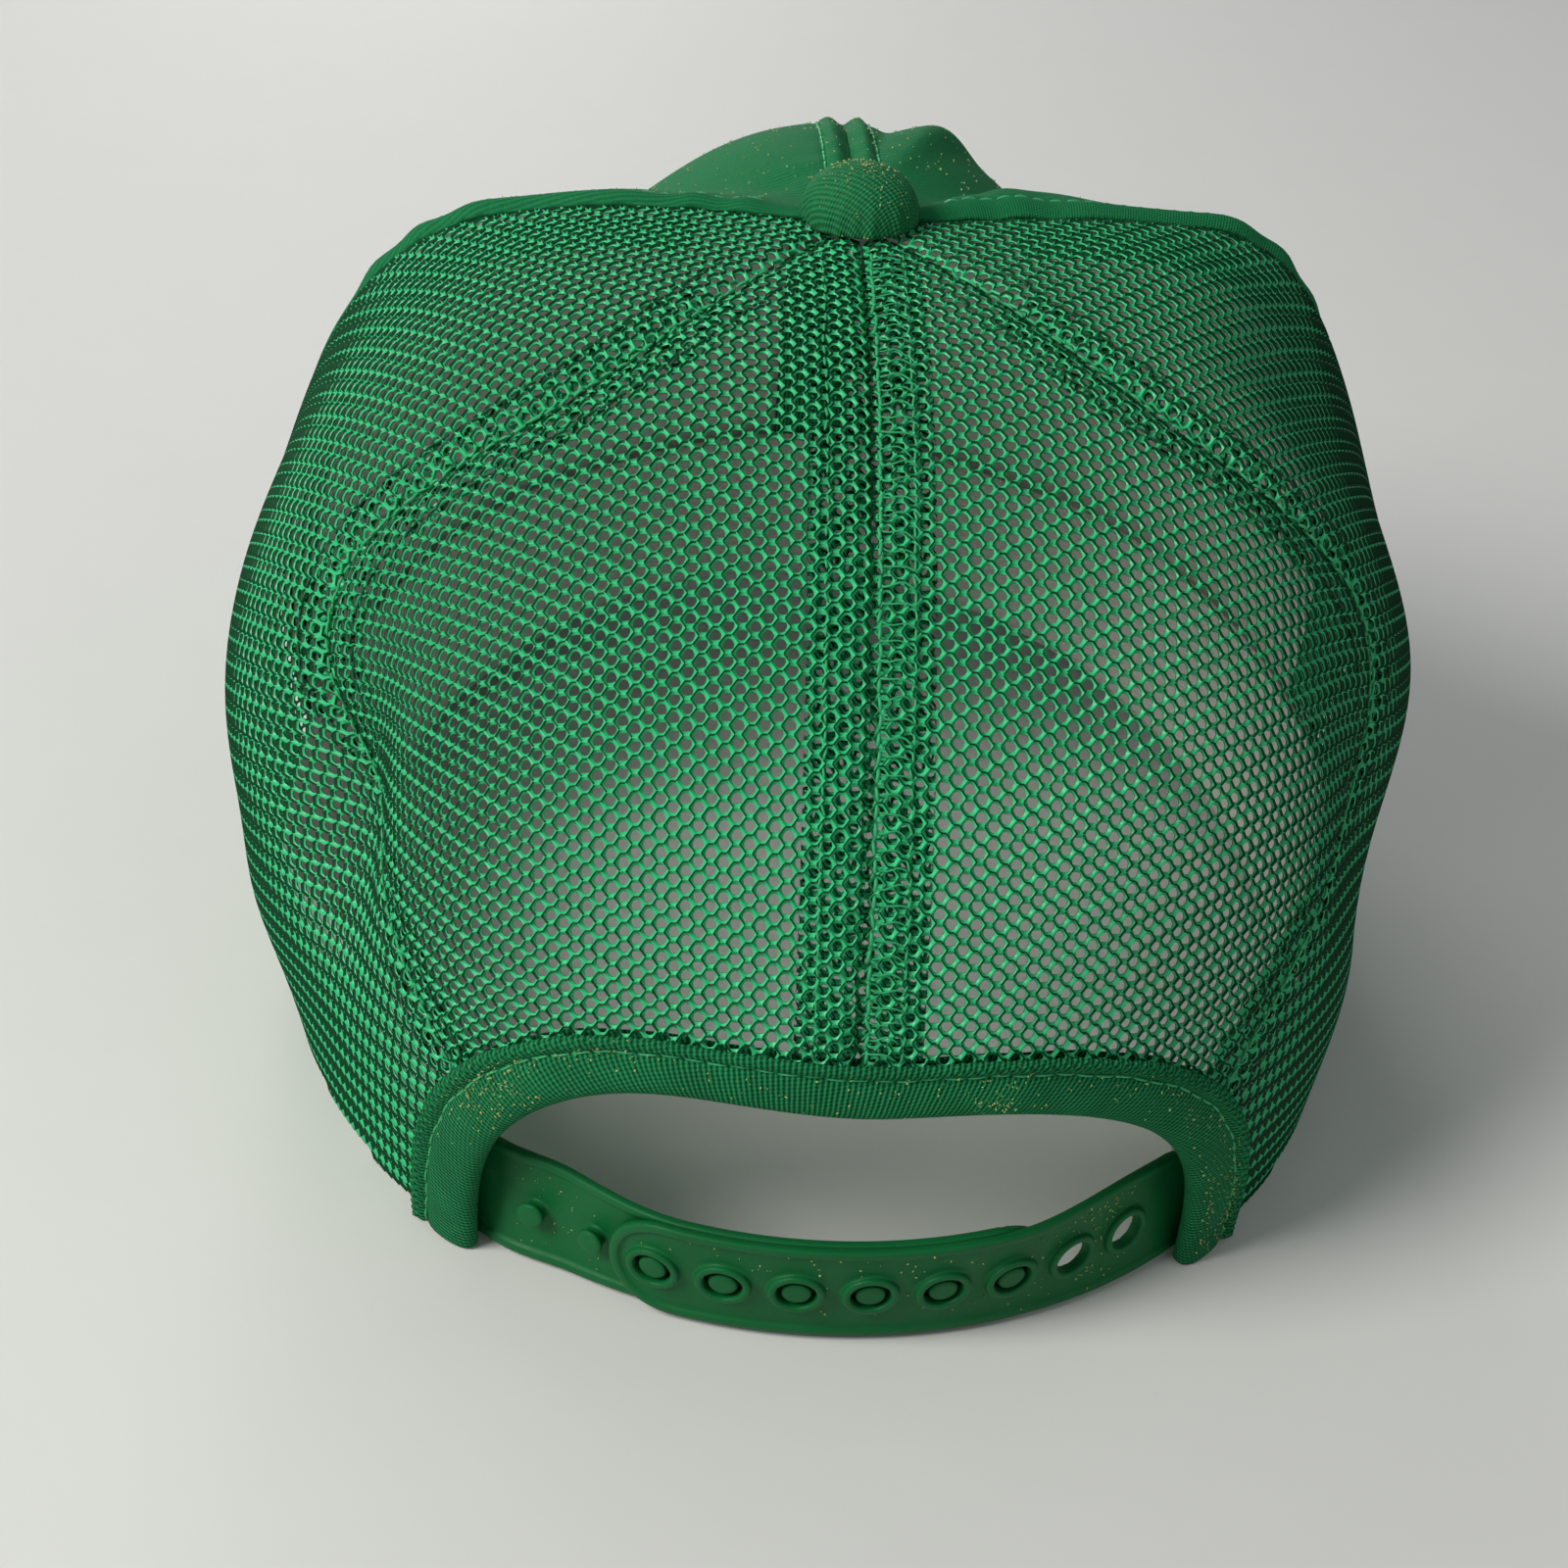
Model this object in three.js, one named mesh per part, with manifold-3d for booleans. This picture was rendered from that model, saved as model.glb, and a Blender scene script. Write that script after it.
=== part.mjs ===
// Six-panel mesh-back cap with a snap strap, in millimetres.
// Origin: centre of the head opening on the plane the cap stands on. +Z up, visor towards -Y,
// strap at +Y, wearer's left at +X.
import * as THREE from 'three';
import { mergeVertices } from 'three/addons/utils/BufferGeometryUtils.js';
import Module from 'manifold-3d';

// ---- driving dimensions -------------------------------------------------------------------
const HEAD_HALF_WIDTH = 80;        // head opening, across
const HEAD_HALF_LENGTH = 97;       // head opening, front to back
const CROWN_HEIGHT = 122;          // rim plane to the crown under the button
const SHOULDER = { front: 2.75, side: 4.0, rear: 2.4 };      // fullness of the dome, 2 is an ellipse
const BULGE = { front: -0.02, side: 0.09, rear: 0.06 };      // how far the walls swell past the rim
const CREST = { lift: 4, halfWidth: 32 };                    // peaked middle of the front panels
const HOLLOW = { drop: 12, azimuth: 43, spread: 20 };        // slack beside the crest
const APEX_ANGLE = 87.2;           // panels stop here, round the button stem
const SEAM_GAP = 0.2;              // half the gap left between two sewn panels

// Seam courses in degrees of azimuth: the rear side seam swells out at the shoulder, then runs in
// to the corner of the rear opening.
const FRONT_SIDE_SEAM = { rim: 72, sweep: 8 };
const REAR_SIDE_SEAM = { azimuth: 141, swell: 20, swellAt: 47, swellSpread: 15, tuck: 14, tuckSpread: 24 };

const FABRIC = 1.1;                // front panel cloth
const MESH = 1.1;                  // thickness the knitted mesh takes up
const LAYER_GAP = 0.3;              // between layers that share a grid
const LOOSE_GAP = 0.9;             // between layers with facets of their own
const BACKING = 1.7;               // foam lining of the front panels
const TAPE = 0.6;
const SWEATBAND = { depth: 5.3, thickness: 1.2, height: 30 };

const RIM_RISE = 17.3;             // the front rim is lifted by the curved visor
const RIM_RISE_POWER = 1.7;

const ARCH = { halfWidth: 49, height: 42.2, fullness: 3.0 };
const BINDING = { width: 7.8, outer: 0.9, inner: 0.5, gap: 0.45, fold: 1.0 };

const VISOR = {
  rootHalfAngle: 64, rootGap: 0.5, centreY: -40, halfWidth: 79, reach: 127, fullness: 2.3,
  height: 22, droop: 0.0031, pitch: 0.05, cover: 0.8, board: 1.8, boardInset: 0.035,
};

const STRAP = {
  radius: 68, centreY: 24.4, lean: 0.23, tabLean: 0.14, bottom: 0.6, height: 18, thickness: 1.2,
  tabEnd: 60, beforeHinge: 0.1, afterHinge: 0.8,
};
const HINGE = { holes: -47, pins: 50.5 };   // where each half bends, measured along the strap
const SNAPS = { count: 8, pitch: 9.4, firstHole: 24, engaged: 6 };
const HOLE = { radius: 2.7, ringRadius: 3.75, ringRise: 0.7 };
const PIN = { radius: 1.65, rise: 1.9 };
const PIN_STRAP_STEP = 1.5;                 // the pin strap steps in under the hole strap

const BUTTON = { radius: 8.2, height: 7.4, lift: 0.4, cloth: 0.8, shell: 0.7 };

const COLOURS = {
  twill: 0x0f6b3a, mesh: 0x14804a, foam: 0xd9d6cc, tape: 0x0d5c33, strap: 0x0c6a38,
  board: 0x6b6e66, steel: 0xa9acae, sweat: 0xd9d5c8,
};

// ---- the crown surface ----------------------------------------------------------------------
const rad = THREE.MathUtils.degToRad;
const smooth = THREE.MathUtils.smoothstep;
const angles = (from, to, steps) => Array.from({ length: steps + 1 }, (_, i) => from + (to - from) * i / steps);

const rimRadius = (phi) => 1 / Math.hypot(Math.sin(phi) / HEAD_HALF_WIDTH, Math.cos(phi) / HEAD_HALF_LENGTH);

// phi: 0 at the front, 90 degrees at +X, 180 degrees at the rear. psi: 0 at the rim, 90 degrees on top.
function crown(phi, psi) {
  const s = Math.sin(phi);
  const c = Math.cos(phi);
  const front = Math.max(c, 0) ** 2;
  const rear = Math.max(-c, 0) ** 2;
  const side = s * s;
  const fullness = front * SHOULDER.front + rear * SHOULDER.rear + side * SHOULDER.side;
  const bulge = front * BULGE.front + rear * BULGE.rear + side * BULGE.side;
  const rim = rimRadius(phi);
  const across = Math.max(Math.cos(psi), 0) / rim;
  const upward = Math.max(Math.sin(psi), 0) / CROWN_HEIGHT;
  const reach = (across ** fullness + upward ** fullness) ** (-1 / fullness);
  let z = reach * Math.sin(psi);
  const r = reach * Math.cos(psi) * (1 + bulge * Math.sin(Math.PI * Math.min(z / CROWN_HEIGHT, 1)));
  const u = Math.min(r / rim, 1);
  const middle = 4 * u * u * (1 - u * u);
  const azimuth = THREE.MathUtils.radToDeg(Math.atan2(Math.abs(s), c));
  z += CREST.lift * Math.exp(-((r * s / CREST.halfWidth) ** 2)) * Math.max(c, 0) * middle;
  z -= HOLLOW.drop * Math.exp(-(((azimuth - HOLLOW.azimuth) / HOLLOW.spread) ** 2)) * middle;
  return new THREE.Vector3(r * s, -r * c, z);
}

function crownNormal(phi, psi) {
  const e = 1e-3;
  const top = Math.min(psi, Math.PI / 2 - 0.02);
  const alongPhi = crown(phi + e, top).sub(crown(phi - e, top));
  const alongPsi = crown(phi, top + e).sub(crown(phi, top - e));
  return alongPhi.cross(alongPsi).normalize();
}

const onCrown = (phi, psi, depth) => crown(phi, psi).addScaledVector(crownNormal(phi, psi), -depth);

// Height of the lower edge of the crown, and the psi that reaches it.
const rimHeight = (phi) => RIM_RISE * Math.max(Math.cos(phi), 0) ** RIM_RISE_POWER;
const rimAngle = (phi) => Math.atan2(rimHeight(phi), rimRadius(phi));

// ---- seams ----------------------------------------------------------------------------------
const frontCentre = () => 0;
const rearCentre = () => Math.PI;
const frontSide = (psi) => rad(FRONT_SIDE_SEAM.rim + FRONT_SIDE_SEAM.sweep * Math.sin(psi));
function rearSide(psi) {
  const { azimuth, swell, swellAt, swellSpread, tuck, tuckSpread } = REAR_SIDE_SEAM;
  const outward = swell * Math.exp(-(((psi - rad(swellAt)) / rad(swellSpread)) ** 2));
  const inward = tuck * Math.exp(-((psi / rad(tuckSpread)) ** 2));
  return rad(azimuth - outward + inward);
}

// ---- solids from grids ----------------------------------------------------------------------
// A closed slab between two sheets of (columns + 1) x (rows + 1) points.
function slab(columns, rows, outerAt, innerAt) {
  const positions = [];
  const indices = [];
  const across = columns + 1;
  const layer = across * (rows + 1);
  for (const at of [outerAt, innerAt]) {
    for (let j = 0; j <= rows; j += 1) {
      for (let i = 0; i <= columns; i += 1) {
        positions.push(...at(i / columns, j / rows).toArray());
      }
    }
  }
  const quad = (a, b, c, d) => indices.push(a, b, c, a, c, d);
  for (let j = 0; j < rows; j += 1) {
    for (let i = 0; i < columns; i += 1) {
      const a = j * across + i;
      quad(a, a + 1, a + 1 + across, a + across);
      quad(layer + a, layer + a + across, layer + a + 1 + across, layer + a + 1);
    }
  }
  const border = [];
  for (let i = 0; i < columns; i += 1) border.push(i);
  for (let j = 0; j < rows; j += 1) border.push(j * across + columns);
  for (let i = columns; i > 0; i -= 1) border.push(rows * across + i);
  for (let j = rows; j > 0; j -= 1) border.push(j * across);
  border.forEach((a, k) => {
    const b = border[(k + 1) % border.length];
    quad(b, a, layer + a, layer + b);
  });
  return facingOut(positions, indices);
}

// A closed band: sections of the same number of points, one after the other, with flat ends.
function loft(sections) {
  const count = sections[0].length;
  const positions = sections.flat().flatMap((p) => p.toArray());
  const indices = [];
  for (let k = 0; k + 1 < sections.length; k += 1) {
    for (let i = 0; i < count; i += 1) {
      const a = k * count + i;
      const b = k * count + (i + 1) % count;
      indices.push(a, b, b + count, a, b + count, a + count);
    }
  }
  return { positions, indices, count, last: (sections.length - 1) * count };
}

function facingOut(positions, indices) {
  let volume = 0;
  const p = (i) => new THREE.Vector3().fromArray(positions, 3 * i);
  for (let k = 0; k < indices.length; k += 3) {
    volume += p(indices[k]).dot(p(indices[k + 1]).cross(p(indices[k + 2])));
  }
  if (volume < 0) {
    for (let k = 0; k < indices.length; k += 3) {
      [indices[k], indices[k + 1]] = [indices[k + 1], indices[k]];
    }
  }
  const geometry = new THREE.BufferGeometry();
  geometry.setAttribute('position', new THREE.Float32BufferAttribute(positions, 3));
  geometry.setIndex(indices);
  return geometry;
}

// ---- joins and cuts -------------------------------------------------------------------------
const wasm = await Module();
wasm.setup();

function solid(geometry) {
  const bare = geometry.clone();
  bare.deleteAttribute('normal');
  bare.deleteAttribute('uv');
  const merged = mergeVertices(bare, 1e-4);
  return new wasm.Manifold(new wasm.Mesh({
    numProp: 3,
    vertProperties: new Float32Array(merged.attributes.position.array),
    triVerts: new Uint32Array(merged.index.array),
  }));
}

function geometryOf(manifold) {
  const mesh = manifold.getMesh();
  const geometry = new THREE.BufferGeometry();
  geometry.setAttribute('position', new THREE.BufferAttribute(new Float32Array(mesh.vertProperties), 3));
  geometry.setIndex(new THREE.BufferAttribute(new Uint32Array(mesh.triVerts), 1));
  return geometry;
}

const cut = (geometry, ...tools) => geometryOf(tools.reduce((body, tool) => body.subtract(solid(tool)), solid(geometry)));
const join = (geometry, ...more) => geometryOf(more.reduce((body, piece) => body.add(solid(piece)), solid(geometry)));

// ---- the rear opening -----------------------------------------------------------------------
// Outline of the opening, grown by `grow`, as (x, z); turn runs from 0 at +X to PI at -X.
function archOutline(turn, grow) {
  const halfWidth = ARCH.halfWidth + grow;
  const height = ARCH.height + grow;
  const c = Math.abs(Math.cos(turn)) / halfWidth;
  const s = Math.max(Math.sin(turn), 0) / height;
  const reach = (c ** ARCH.fullness + s ** ARCH.fullness) ** (-1 / ARCH.fullness);
  return [reach * Math.cos(turn), reach * Math.sin(turn)];
}

function archCutter(grow, steps = 40) {
  const shape = new THREE.Shape();
  shape.moveTo(ARCH.halfWidth + grow, -5);
  for (const turn of angles(0, Math.PI, steps)) {
    shape.lineTo(...archOutline(turn, grow));
  }
  shape.lineTo(-ARCH.halfWidth - grow, -5);
  const prism = new THREE.ExtrudeGeometry(shape, { depth: 90, bevelEnabled: false });
  prism.rotateX(Math.PI / 2);
  prism.translate(0, 130, 0);
  return prism;
}

// The point of the rear crown with the given x and z, as (phi, psi).
function rearAngles(x, z) {
  let phi = Math.PI;
  let psi = 0;
  for (let pass = 0; pass < 12; pass += 1) {
    let low = 0;
    let high = rad(80);
    for (let step = 0; step < 26; step += 1) {
      psi = (low + high) / 2;
      if (crown(phi, psi).z < z) low = psi;
      else high = psi;
    }
    const p = crown(phi, psi);
    phi = Math.PI - Math.asin(THREE.MathUtils.clamp(x / Math.hypot(p.x, p.y), -0.95, 0.95));
  }
  return [phi, psi];
}

function archPoint(turn, grow, depth) {
  const [x, z] = archOutline(turn, grow);
  const [phi, psi] = rearAngles(x, z);
  return onCrown(phi, psi, depth);
}

// ---- panels and linings ---------------------------------------------------------------------
const APEX = rad(APEX_ANGLE);

// A patch of the crown between two seams, from the rim (or `from`) to the button.
function crownPatch({ left, right, outer, thickness, columns, rows, from = 0, to = APEX, gap = SEAM_GAP }) {
  const at = (depth) => (u, v) => {
    const guess = THREE.MathUtils.lerp(from, to, v);
    const a = left(guess);
    const b = right(guess);
    const phi = THREE.MathUtils.lerp(a, b, u);
    const start = Math.max(rimAngle(phi), from);
    const psi = THREE.MathUtils.lerp(start, to, v);
    const p = crown(phi, psi);
    const inset = gap / Math.hypot(p.x, p.y);
    return onCrown(THREE.MathUtils.lerp(a + inset, b - inset, u), psi, depth);
  };
  return slab(columns, rows, at(outer), at(outer + thickness));
}

// A strip of cloth along a seam, on the inside of the crown.
function seamStrip({ seam, halfWidth, outer, thickness, from, to, rows, columns = 4 }) {
  const at = (depth) => (u, v) => {
    const psi = THREE.MathUtils.lerp(from, to, v);
    const phi = seam(psi);
    const p = crown(phi, psi);
    const offset = THREE.MathUtils.lerp(-halfWidth, halfWidth, u) / Math.hypot(p.x, p.y);
    return onCrown(phi + offset, psi, depth);
  };
  return slab(columns, rows, at(outer), at(outer + thickness));
}

const mirrored = (seam) => (psi) => 2 * Math.PI - seam(psi);
const negated = (seam) => (psi) => -seam(psi);

const LINING = FABRIC + LAYER_GAP;
const TAPE_DEPTH = LINING + BACKING + LOOSE_GAP;
const FOLD_DEPTH = MESH + LOOSE_GAP;
const FOLD = 0.7;
const FRONT_GRID = { columns: 10, rows: 13 };
const MESH_ROWS = 15;

function frontPanel(sign) {
  const outerSeam = sign > 0 ? frontSide : negated(frontSide);
  const [left, right] = sign > 0 ? [frontCentre, outerSeam] : [outerSeam, frontCentre];
  return crownPatch({ left, right, outer: 0, thickness: FABRIC, ...FRONT_GRID });
}

function frontBacking(sign) {
  const outerSeam = sign > 0 ? frontSide : negated(frontSide);
  const [left, right] = sign > 0 ? [frontCentre, outerSeam] : [outerSeam, frontCentre];
  return crownPatch({
    left, right, outer: LINING, thickness: BACKING, ...FRONT_GRID, gap: 0.8,
  });
}

function sideMesh(sign) {
  const [left, right] = sign > 0 ? [frontSide, rearSide] : [mirrored(rearSide), mirrored(frontSide)];
  const panel = crownPatch({ left, right, outer: 0, thickness: MESH, columns: 10, rows: MESH_ROWS });
  return cut(panel, archCutter(BINDING.fold + 0.3));
}

function rearMesh(sign) {
  const [left, right] = sign > 0 ? [rearSide, rearCentre] : [rearCentre, mirrored(rearSide)];
  const panel = crownPatch({ left, right, outer: 0, thickness: MESH, columns: 6, rows: MESH_ROWS });
  return cut(panel, archCutter(BINDING.fold + 0.3));
}

const clearOfArch = (geometry) => cut(geometry, archCutter(BINDING.width + 0.6));

function rearSeamFold(seam, halfWidth, top) {
  return clearOfArch(seamStrip({
    seam, halfWidth, outer: FOLD_DEPTH, thickness: FOLD, from: rad(16), to: top, rows: 14,
  }));
}

function frontSeamTape() {
  return seamStrip({
    seam: frontCentre, halfWidth: 6, outer: TAPE_DEPTH, thickness: TAPE, from: rad(30), to: rad(84), rows: 12,
  });
}

function sideSeamTape(sign) {
  const seam = sign > 0 ? frontSide : negated(frontSide);
  return seamStrip({
    seam, halfWidth: 6, outer: TAPE_DEPTH, thickness: TAPE, from: rad(22), to: rad(79), rows: 12,
  });
}

// Leather-like band round the inside of the rim, open at the rear.
function sweatband() {
  const end = rad(157);
  const at = (depth) => (u, v) => {
    const phi = THREE.MathUtils.lerp(-end, end, u);
    const low = rimHeight(phi);
    const psi = Math.atan2(low + SWEATBAND.height * v, rimRadius(phi));
    const p = onCrown(phi, psi, depth);
    if (v === 0) p.z = low;
    return p;
  };
  const band = slab(44, 2, at(SWEATBAND.depth), at(SWEATBAND.depth + SWEATBAND.thickness));
  return cut(band, archCutter(2.5));
}

// Folded tape that wraps the cut edge of the mesh round the rear opening.
function archBinding() {
  const { width, outer, inner, gap, fold } = BINDING;
  const profile = [
    [0, MESH + gap + inner], [width, MESH + gap + inner], [width, MESH + gap], [fold, MESH + gap],
    [fold, -gap], [width, -gap], [width, -gap - outer], [0, -gap - outer],
  ];
  const sections = angles(rad(0.4), Math.PI - rad(0.4), 36)
    .map((turn) => profile.map(([grow, depth]) => archPoint(turn, grow, depth)));
  const { positions, indices, count, last } = loft(sections);
  for (const start of [0, last]) {
    const faces = [[0, 1, 2], [0, 2, 3], [0, 3, 4], [0, 4, 7], [4, 5, 6], [4, 6, 7]];
    for (const [a, b, c] of faces) {
      if (start === 0) indices.push(start + a, start + c, start + b);
      else indices.push(start + a, start + b, start + c);
    }
  }
  return facingOut(positions, indices);
}

// ---- visor ----------------------------------------------------------------------------------
const visorHeight = (x, y) => VISOR.height - VISOR.droop * x * x + VISOR.pitch * (y + HEAD_HALF_LENGTH);

// u from -1 to 1 across, v from 0 at the crown to 1 at the free edge; depth below the top face.
function visorPoint(u, v, depth) {
  const phi = rad(VISOR.rootHalfAngle) * u;
  const edge = Math.PI / 2 * u;
  const power = 2 / VISOR.fullness;
  const outerX = VISOR.halfWidth * Math.sign(u) * Math.abs(Math.sin(edge)) ** power;
  const outerY = VISOR.centreY - VISOR.reach * Math.abs(Math.cos(edge)) ** power;
  const guess = crown(phi, Math.atan2(rimHeight(phi) + 2, rimRadius(phi)));
  const away = new THREE.Vector2(guess.x, guess.y).setLength(VISOR.rootGap);
  const x = THREE.MathUtils.lerp(guess.x + away.x, outerX, v);
  const y = THREE.MathUtils.lerp(guess.y + away.y, outerY, v);
  return new THREE.Vector3(x, y, visorHeight(x, y) - depth);
}

function visorLayer(outer, thickness, inset) {
  const at = (depth) => (u, v) => visorPoint(
    THREE.MathUtils.lerp(-1 + inset, 1 - inset, u),
    THREE.MathUtils.lerp(0, 1 - inset, v),
    depth,
  );
  return slab(24, 5, at(outer), at(outer + thickness));
}

// ---- snap strap -----------------------------------------------------------------------------
// The strap leans out at its middle, stands upright where it bends, and its ends lean with the crown.
const strapLean = (along) =>
  STRAP.lean * Math.cos(along / STRAP.radius) ** 2 * (1 - smooth(Math.abs(along), 20, 46))
  + STRAP.tabLean * smooth(Math.abs(along), 49, 58);

// Along the strap from its middle (+ towards +X), up from its lower edge, out from its inner face.
function strapPoint(along, up, out) {
  const theta = along / STRAP.radius;
  const radius = STRAP.radius + strapLean(along) * up + out;
  return new THREE.Vector3(
    radius * Math.sin(theta),
    STRAP.centreY + radius * Math.cos(theta),
    STRAP.bottom + up,
  );
}

// Strip with a square end at `root` and a round end at `tip`.
function strapStrip({ root, tip, inset, from, to, step, columns }) {
  const half = STRAP.height / 2;
  const toward = Math.sign(tip - root);
  const stop = tip - toward * inset;
  const at = (out) => (u, v) => {
    const along = THREE.MathUtils.lerp(root, stop, u < 1 ? Math.sin(u * Math.PI / 2) : 1);
    const past = Math.max(0, half - Math.abs(tip - along)) / half;
    const reach = Math.max(half * Math.sqrt(Math.max(1 - past * past, 0)) - inset, 0.6);
    return strapPoint(along, half + THREE.MathUtils.lerp(-reach, reach, v), out + step(along));
  };
  return slab(columns, 3, at(to), at(from));
}

// A turned piece standing out of the strap: profile of (radius, out) that closes on itself or on its axis.
function turnedOnStrap(along, profile, step = 0, segments = 14) {
  const lathe = new THREE.LatheGeometry(profile.map(([r, h]) => new THREE.Vector2(r, h)), segments);
  const middle = STRAP.height / 2;
  const base = strapPoint(along, middle, step);
  const normal = strapPoint(along, middle, step + 1).sub(base).normalize();
  const turn = new THREE.Quaternion().setFromUnitVectors(new THREE.Vector3(0, 1, 0), normal);
  lathe.applyQuaternion(turn);
  lathe.translate(base.x, base.y, base.z);
  return lathe;
}

const flush = () => 0;
const steppedIn = (along) => -PIN_STRAP_STEP * (1 - smooth(along, 37, 49));

function strapWithHoles() {
  const { thickness, beforeHinge } = STRAP;
  const tip = SNAPS.firstHole + 6.5;
  let body = strapStrip({
    root: HINGE.holes + beforeHinge, tip, inset: 0, from: 0, to: thickness, step: flush, columns: 28,
  });
  const rings = [];
  const bores = [];
  for (let k = 0; k < SNAPS.count; k += 1) {
    const along = SNAPS.firstHole - k * SNAPS.pitch;
    const top = thickness + HOLE.ringRise;
    rings.push(turnedOnStrap(along, [
      [0, thickness * 0.5], [HOLE.ringRadius, thickness * 0.5], [HOLE.ringRadius, top - 0.25],
      [HOLE.ringRadius - 0.3, top], [0, top],
    ]));
    bores.push(turnedOnStrap(along, [[0, -2], [HOLE.radius, -2], [HOLE.radius, 5], [0, 5]]));
  }
  body = join(body, ...rings);
  return cut(body, ...bores);
}

function strapWithPins() {
  const { thickness, beforeHinge } = STRAP;
  const firstPin = SNAPS.firstHole + (SNAPS.count - SNAPS.engaged) * SNAPS.pitch;
  const tip = firstPin - (SNAPS.count - 1) * SNAPS.pitch - 6;
  const body = strapStrip({
    root: HINGE.pins - beforeHinge, tip, inset: 0, from: 0, to: thickness, step: steppedIn, columns: 26,
  });
  const pins = [];
  for (let k = 0; k < SNAPS.count; k += 1) {
    const along = firstPin - k * SNAPS.pitch;
    const top = thickness + PIN.rise;
    pins.push(turnedOnStrap(along, [
      [0, thickness * 0.5], [PIN.radius - 0.25, thickness * 0.5], [PIN.radius - 0.25, top - 0.9],
      [PIN.radius, top - 0.6], [PIN.radius - 0.3, top], [0, top],
    ], steppedIn(along), 12));
  }
  return join(body, ...pins);
}

// The sewn-in end of each strap, behind the binding.
function strapTab(hinge) {
  const { tabEnd, afterHinge, thickness, height } = STRAP;
  const toward = Math.sign(hinge);
  const at = (out) => (u, v) =>
    strapPoint(THREE.MathUtils.lerp(hinge + toward * afterHinge, toward * tabEnd, u), height * v, out);
  return slab(6, 3, at(thickness), at(0));
}

// ---- button ---------------------------------------------------------------------------------
function turned(profile, segments) {
  const lathe = new THREE.LatheGeometry(profile.map(([r, h]) => new THREE.Vector2(r, h)), segments);
  lathe.rotateX(Math.PI / 2);
  return lathe;
}

// Points of a flattened dome from its axis out to its lower rim.
function domeProfile(radius, height, base, steps) {
  return angles(0, 1, steps).map((t) => {
    const angle = Math.PI / 2 * t;
    return [radius * Math.sin(angle), base + height * Math.cos(angle) ** 0.8];
  });
}

function domeShell(radius, height, base, thickness, segments) {
  const outer = domeProfile(radius, height, base, 6);
  const inner = domeProfile(radius - thickness, height - thickness, base, 5).reverse();
  outer[0][0] = 0;
  inner[inner.length - 1][0] = 0;
  return turned([...outer, ...inner].reverse(), segments);
}

function buttonCover() {
  const { radius, height, cloth } = BUTTON;
  return domeShell(radius, height, 0, cloth, 24);
}

function buttonShell() {
  const { radius, height, cloth, shell } = BUTTON;
  return domeShell(radius - cloth - LAYER_GAP, height - cloth - LAYER_GAP, 0, shell, 20);
}

const stemProfile = [[0, -6.6], [1.5, -6.6], [1.5, 2.6], [3.2, 3.0], [3.2, 3.6], [0, 3.6]];
const washerProfile = [[1.9, -6.0], [8.5, -6.0], [8.5, -5.2], [1.9, -5.2], [1.9, -6.0]];

// ---- assembly -------------------------------------------------------------------------------
const material = (color, roughness, metalness = 0) => new THREE.MeshStandardMaterial({ color, roughness, metalness });
const MATERIALS = {
  twill: material(COLOURS.twill, 0.85),
  mesh: material(COLOURS.mesh, 0.6),
  foam: material(COLOURS.foam, 0.95),
  tape: material(COLOURS.tape, 0.9),
  strap: material(COLOURS.strap, 0.45),
  board: material(COLOURS.board, 0.7),
  steel: material(COLOURS.steel, 0.35, 0.9),
  sweat: material(COLOURS.sweat, 0.9),
};

const cap = new THREE.Group();

function place(name, geometry, kind, height = 0) {
  geometry.computeVertexNormals();
  const mesh = new THREE.Mesh(geometry, MATERIALS[kind]);
  mesh.name = name;
  mesh.position.z = height;
  cap.add(mesh);
}

for (const [side, sign] of [['left', 1], ['right', -1]]) {
  const rearSeam = sign > 0 ? rearSide : mirrored(rearSide);
  place(`front_panel_${side}`, frontPanel(sign), 'twill');
  place(`front_backing_${side}`, frontBacking(sign), 'foam');
  place(`side_mesh_${side}`, sideMesh(sign), 'mesh');
  place(`rear_mesh_${side}`, rearMesh(sign), 'mesh');
  place(`side_seam_tape_${side}`, sideSeamTape(sign), 'tape');
  place(`rear_side_seam_${side}`, rearSeamFold(rearSeam, 6, rad(74)), 'mesh');
}
place('rear_centre_seam', rearSeamFold(rearCentre, 8, rad(83)), 'mesh');
place('front_seam_tape', frontSeamTape(), 'tape');
place('rear_arch_binding', archBinding(), 'twill');
place('sweatband', sweatband(), 'sweat');

const buttonBase = CROWN_HEIGHT + BUTTON.lift;
place('button_cover', buttonCover(), 'twill', buttonBase);
place('button_shell', buttonShell(), 'steel', buttonBase);
place('button_stem', turned(stemProfile, 16), 'steel', CROWN_HEIGHT);
place('button_washer', turned(washerProfile, 24), 'steel', CROWN_HEIGHT);

place('visor_top_cover', visorLayer(0, VISOR.cover, 0), 'twill');
place('visor_board', visorLayer(VISOR.cover + LAYER_GAP, VISOR.board, VISOR.boardInset), 'board');
place('visor_under_cover', visorLayer(VISOR.cover + VISOR.board + 2 * LAYER_GAP, VISOR.cover, 0), 'twill');

place('strap_pin_tab', strapTab(HINGE.pins), 'strap');
place('strap_hole_tab', strapTab(HINGE.holes), 'strap');
place('strap_with_pins', strapWithPins(), 'strap');
place('strap_with_holes', strapWithHoles(), 'strap');

export default cap;
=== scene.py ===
"""Six-panel trucker cap with an open knitted-mesh back and a snap strap, seen from behind."""
import math
import random

import bpy
import numpy as np
from mathutils import Matrix, Vector
from mathutils.geometry import tessellate_polygon


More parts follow.
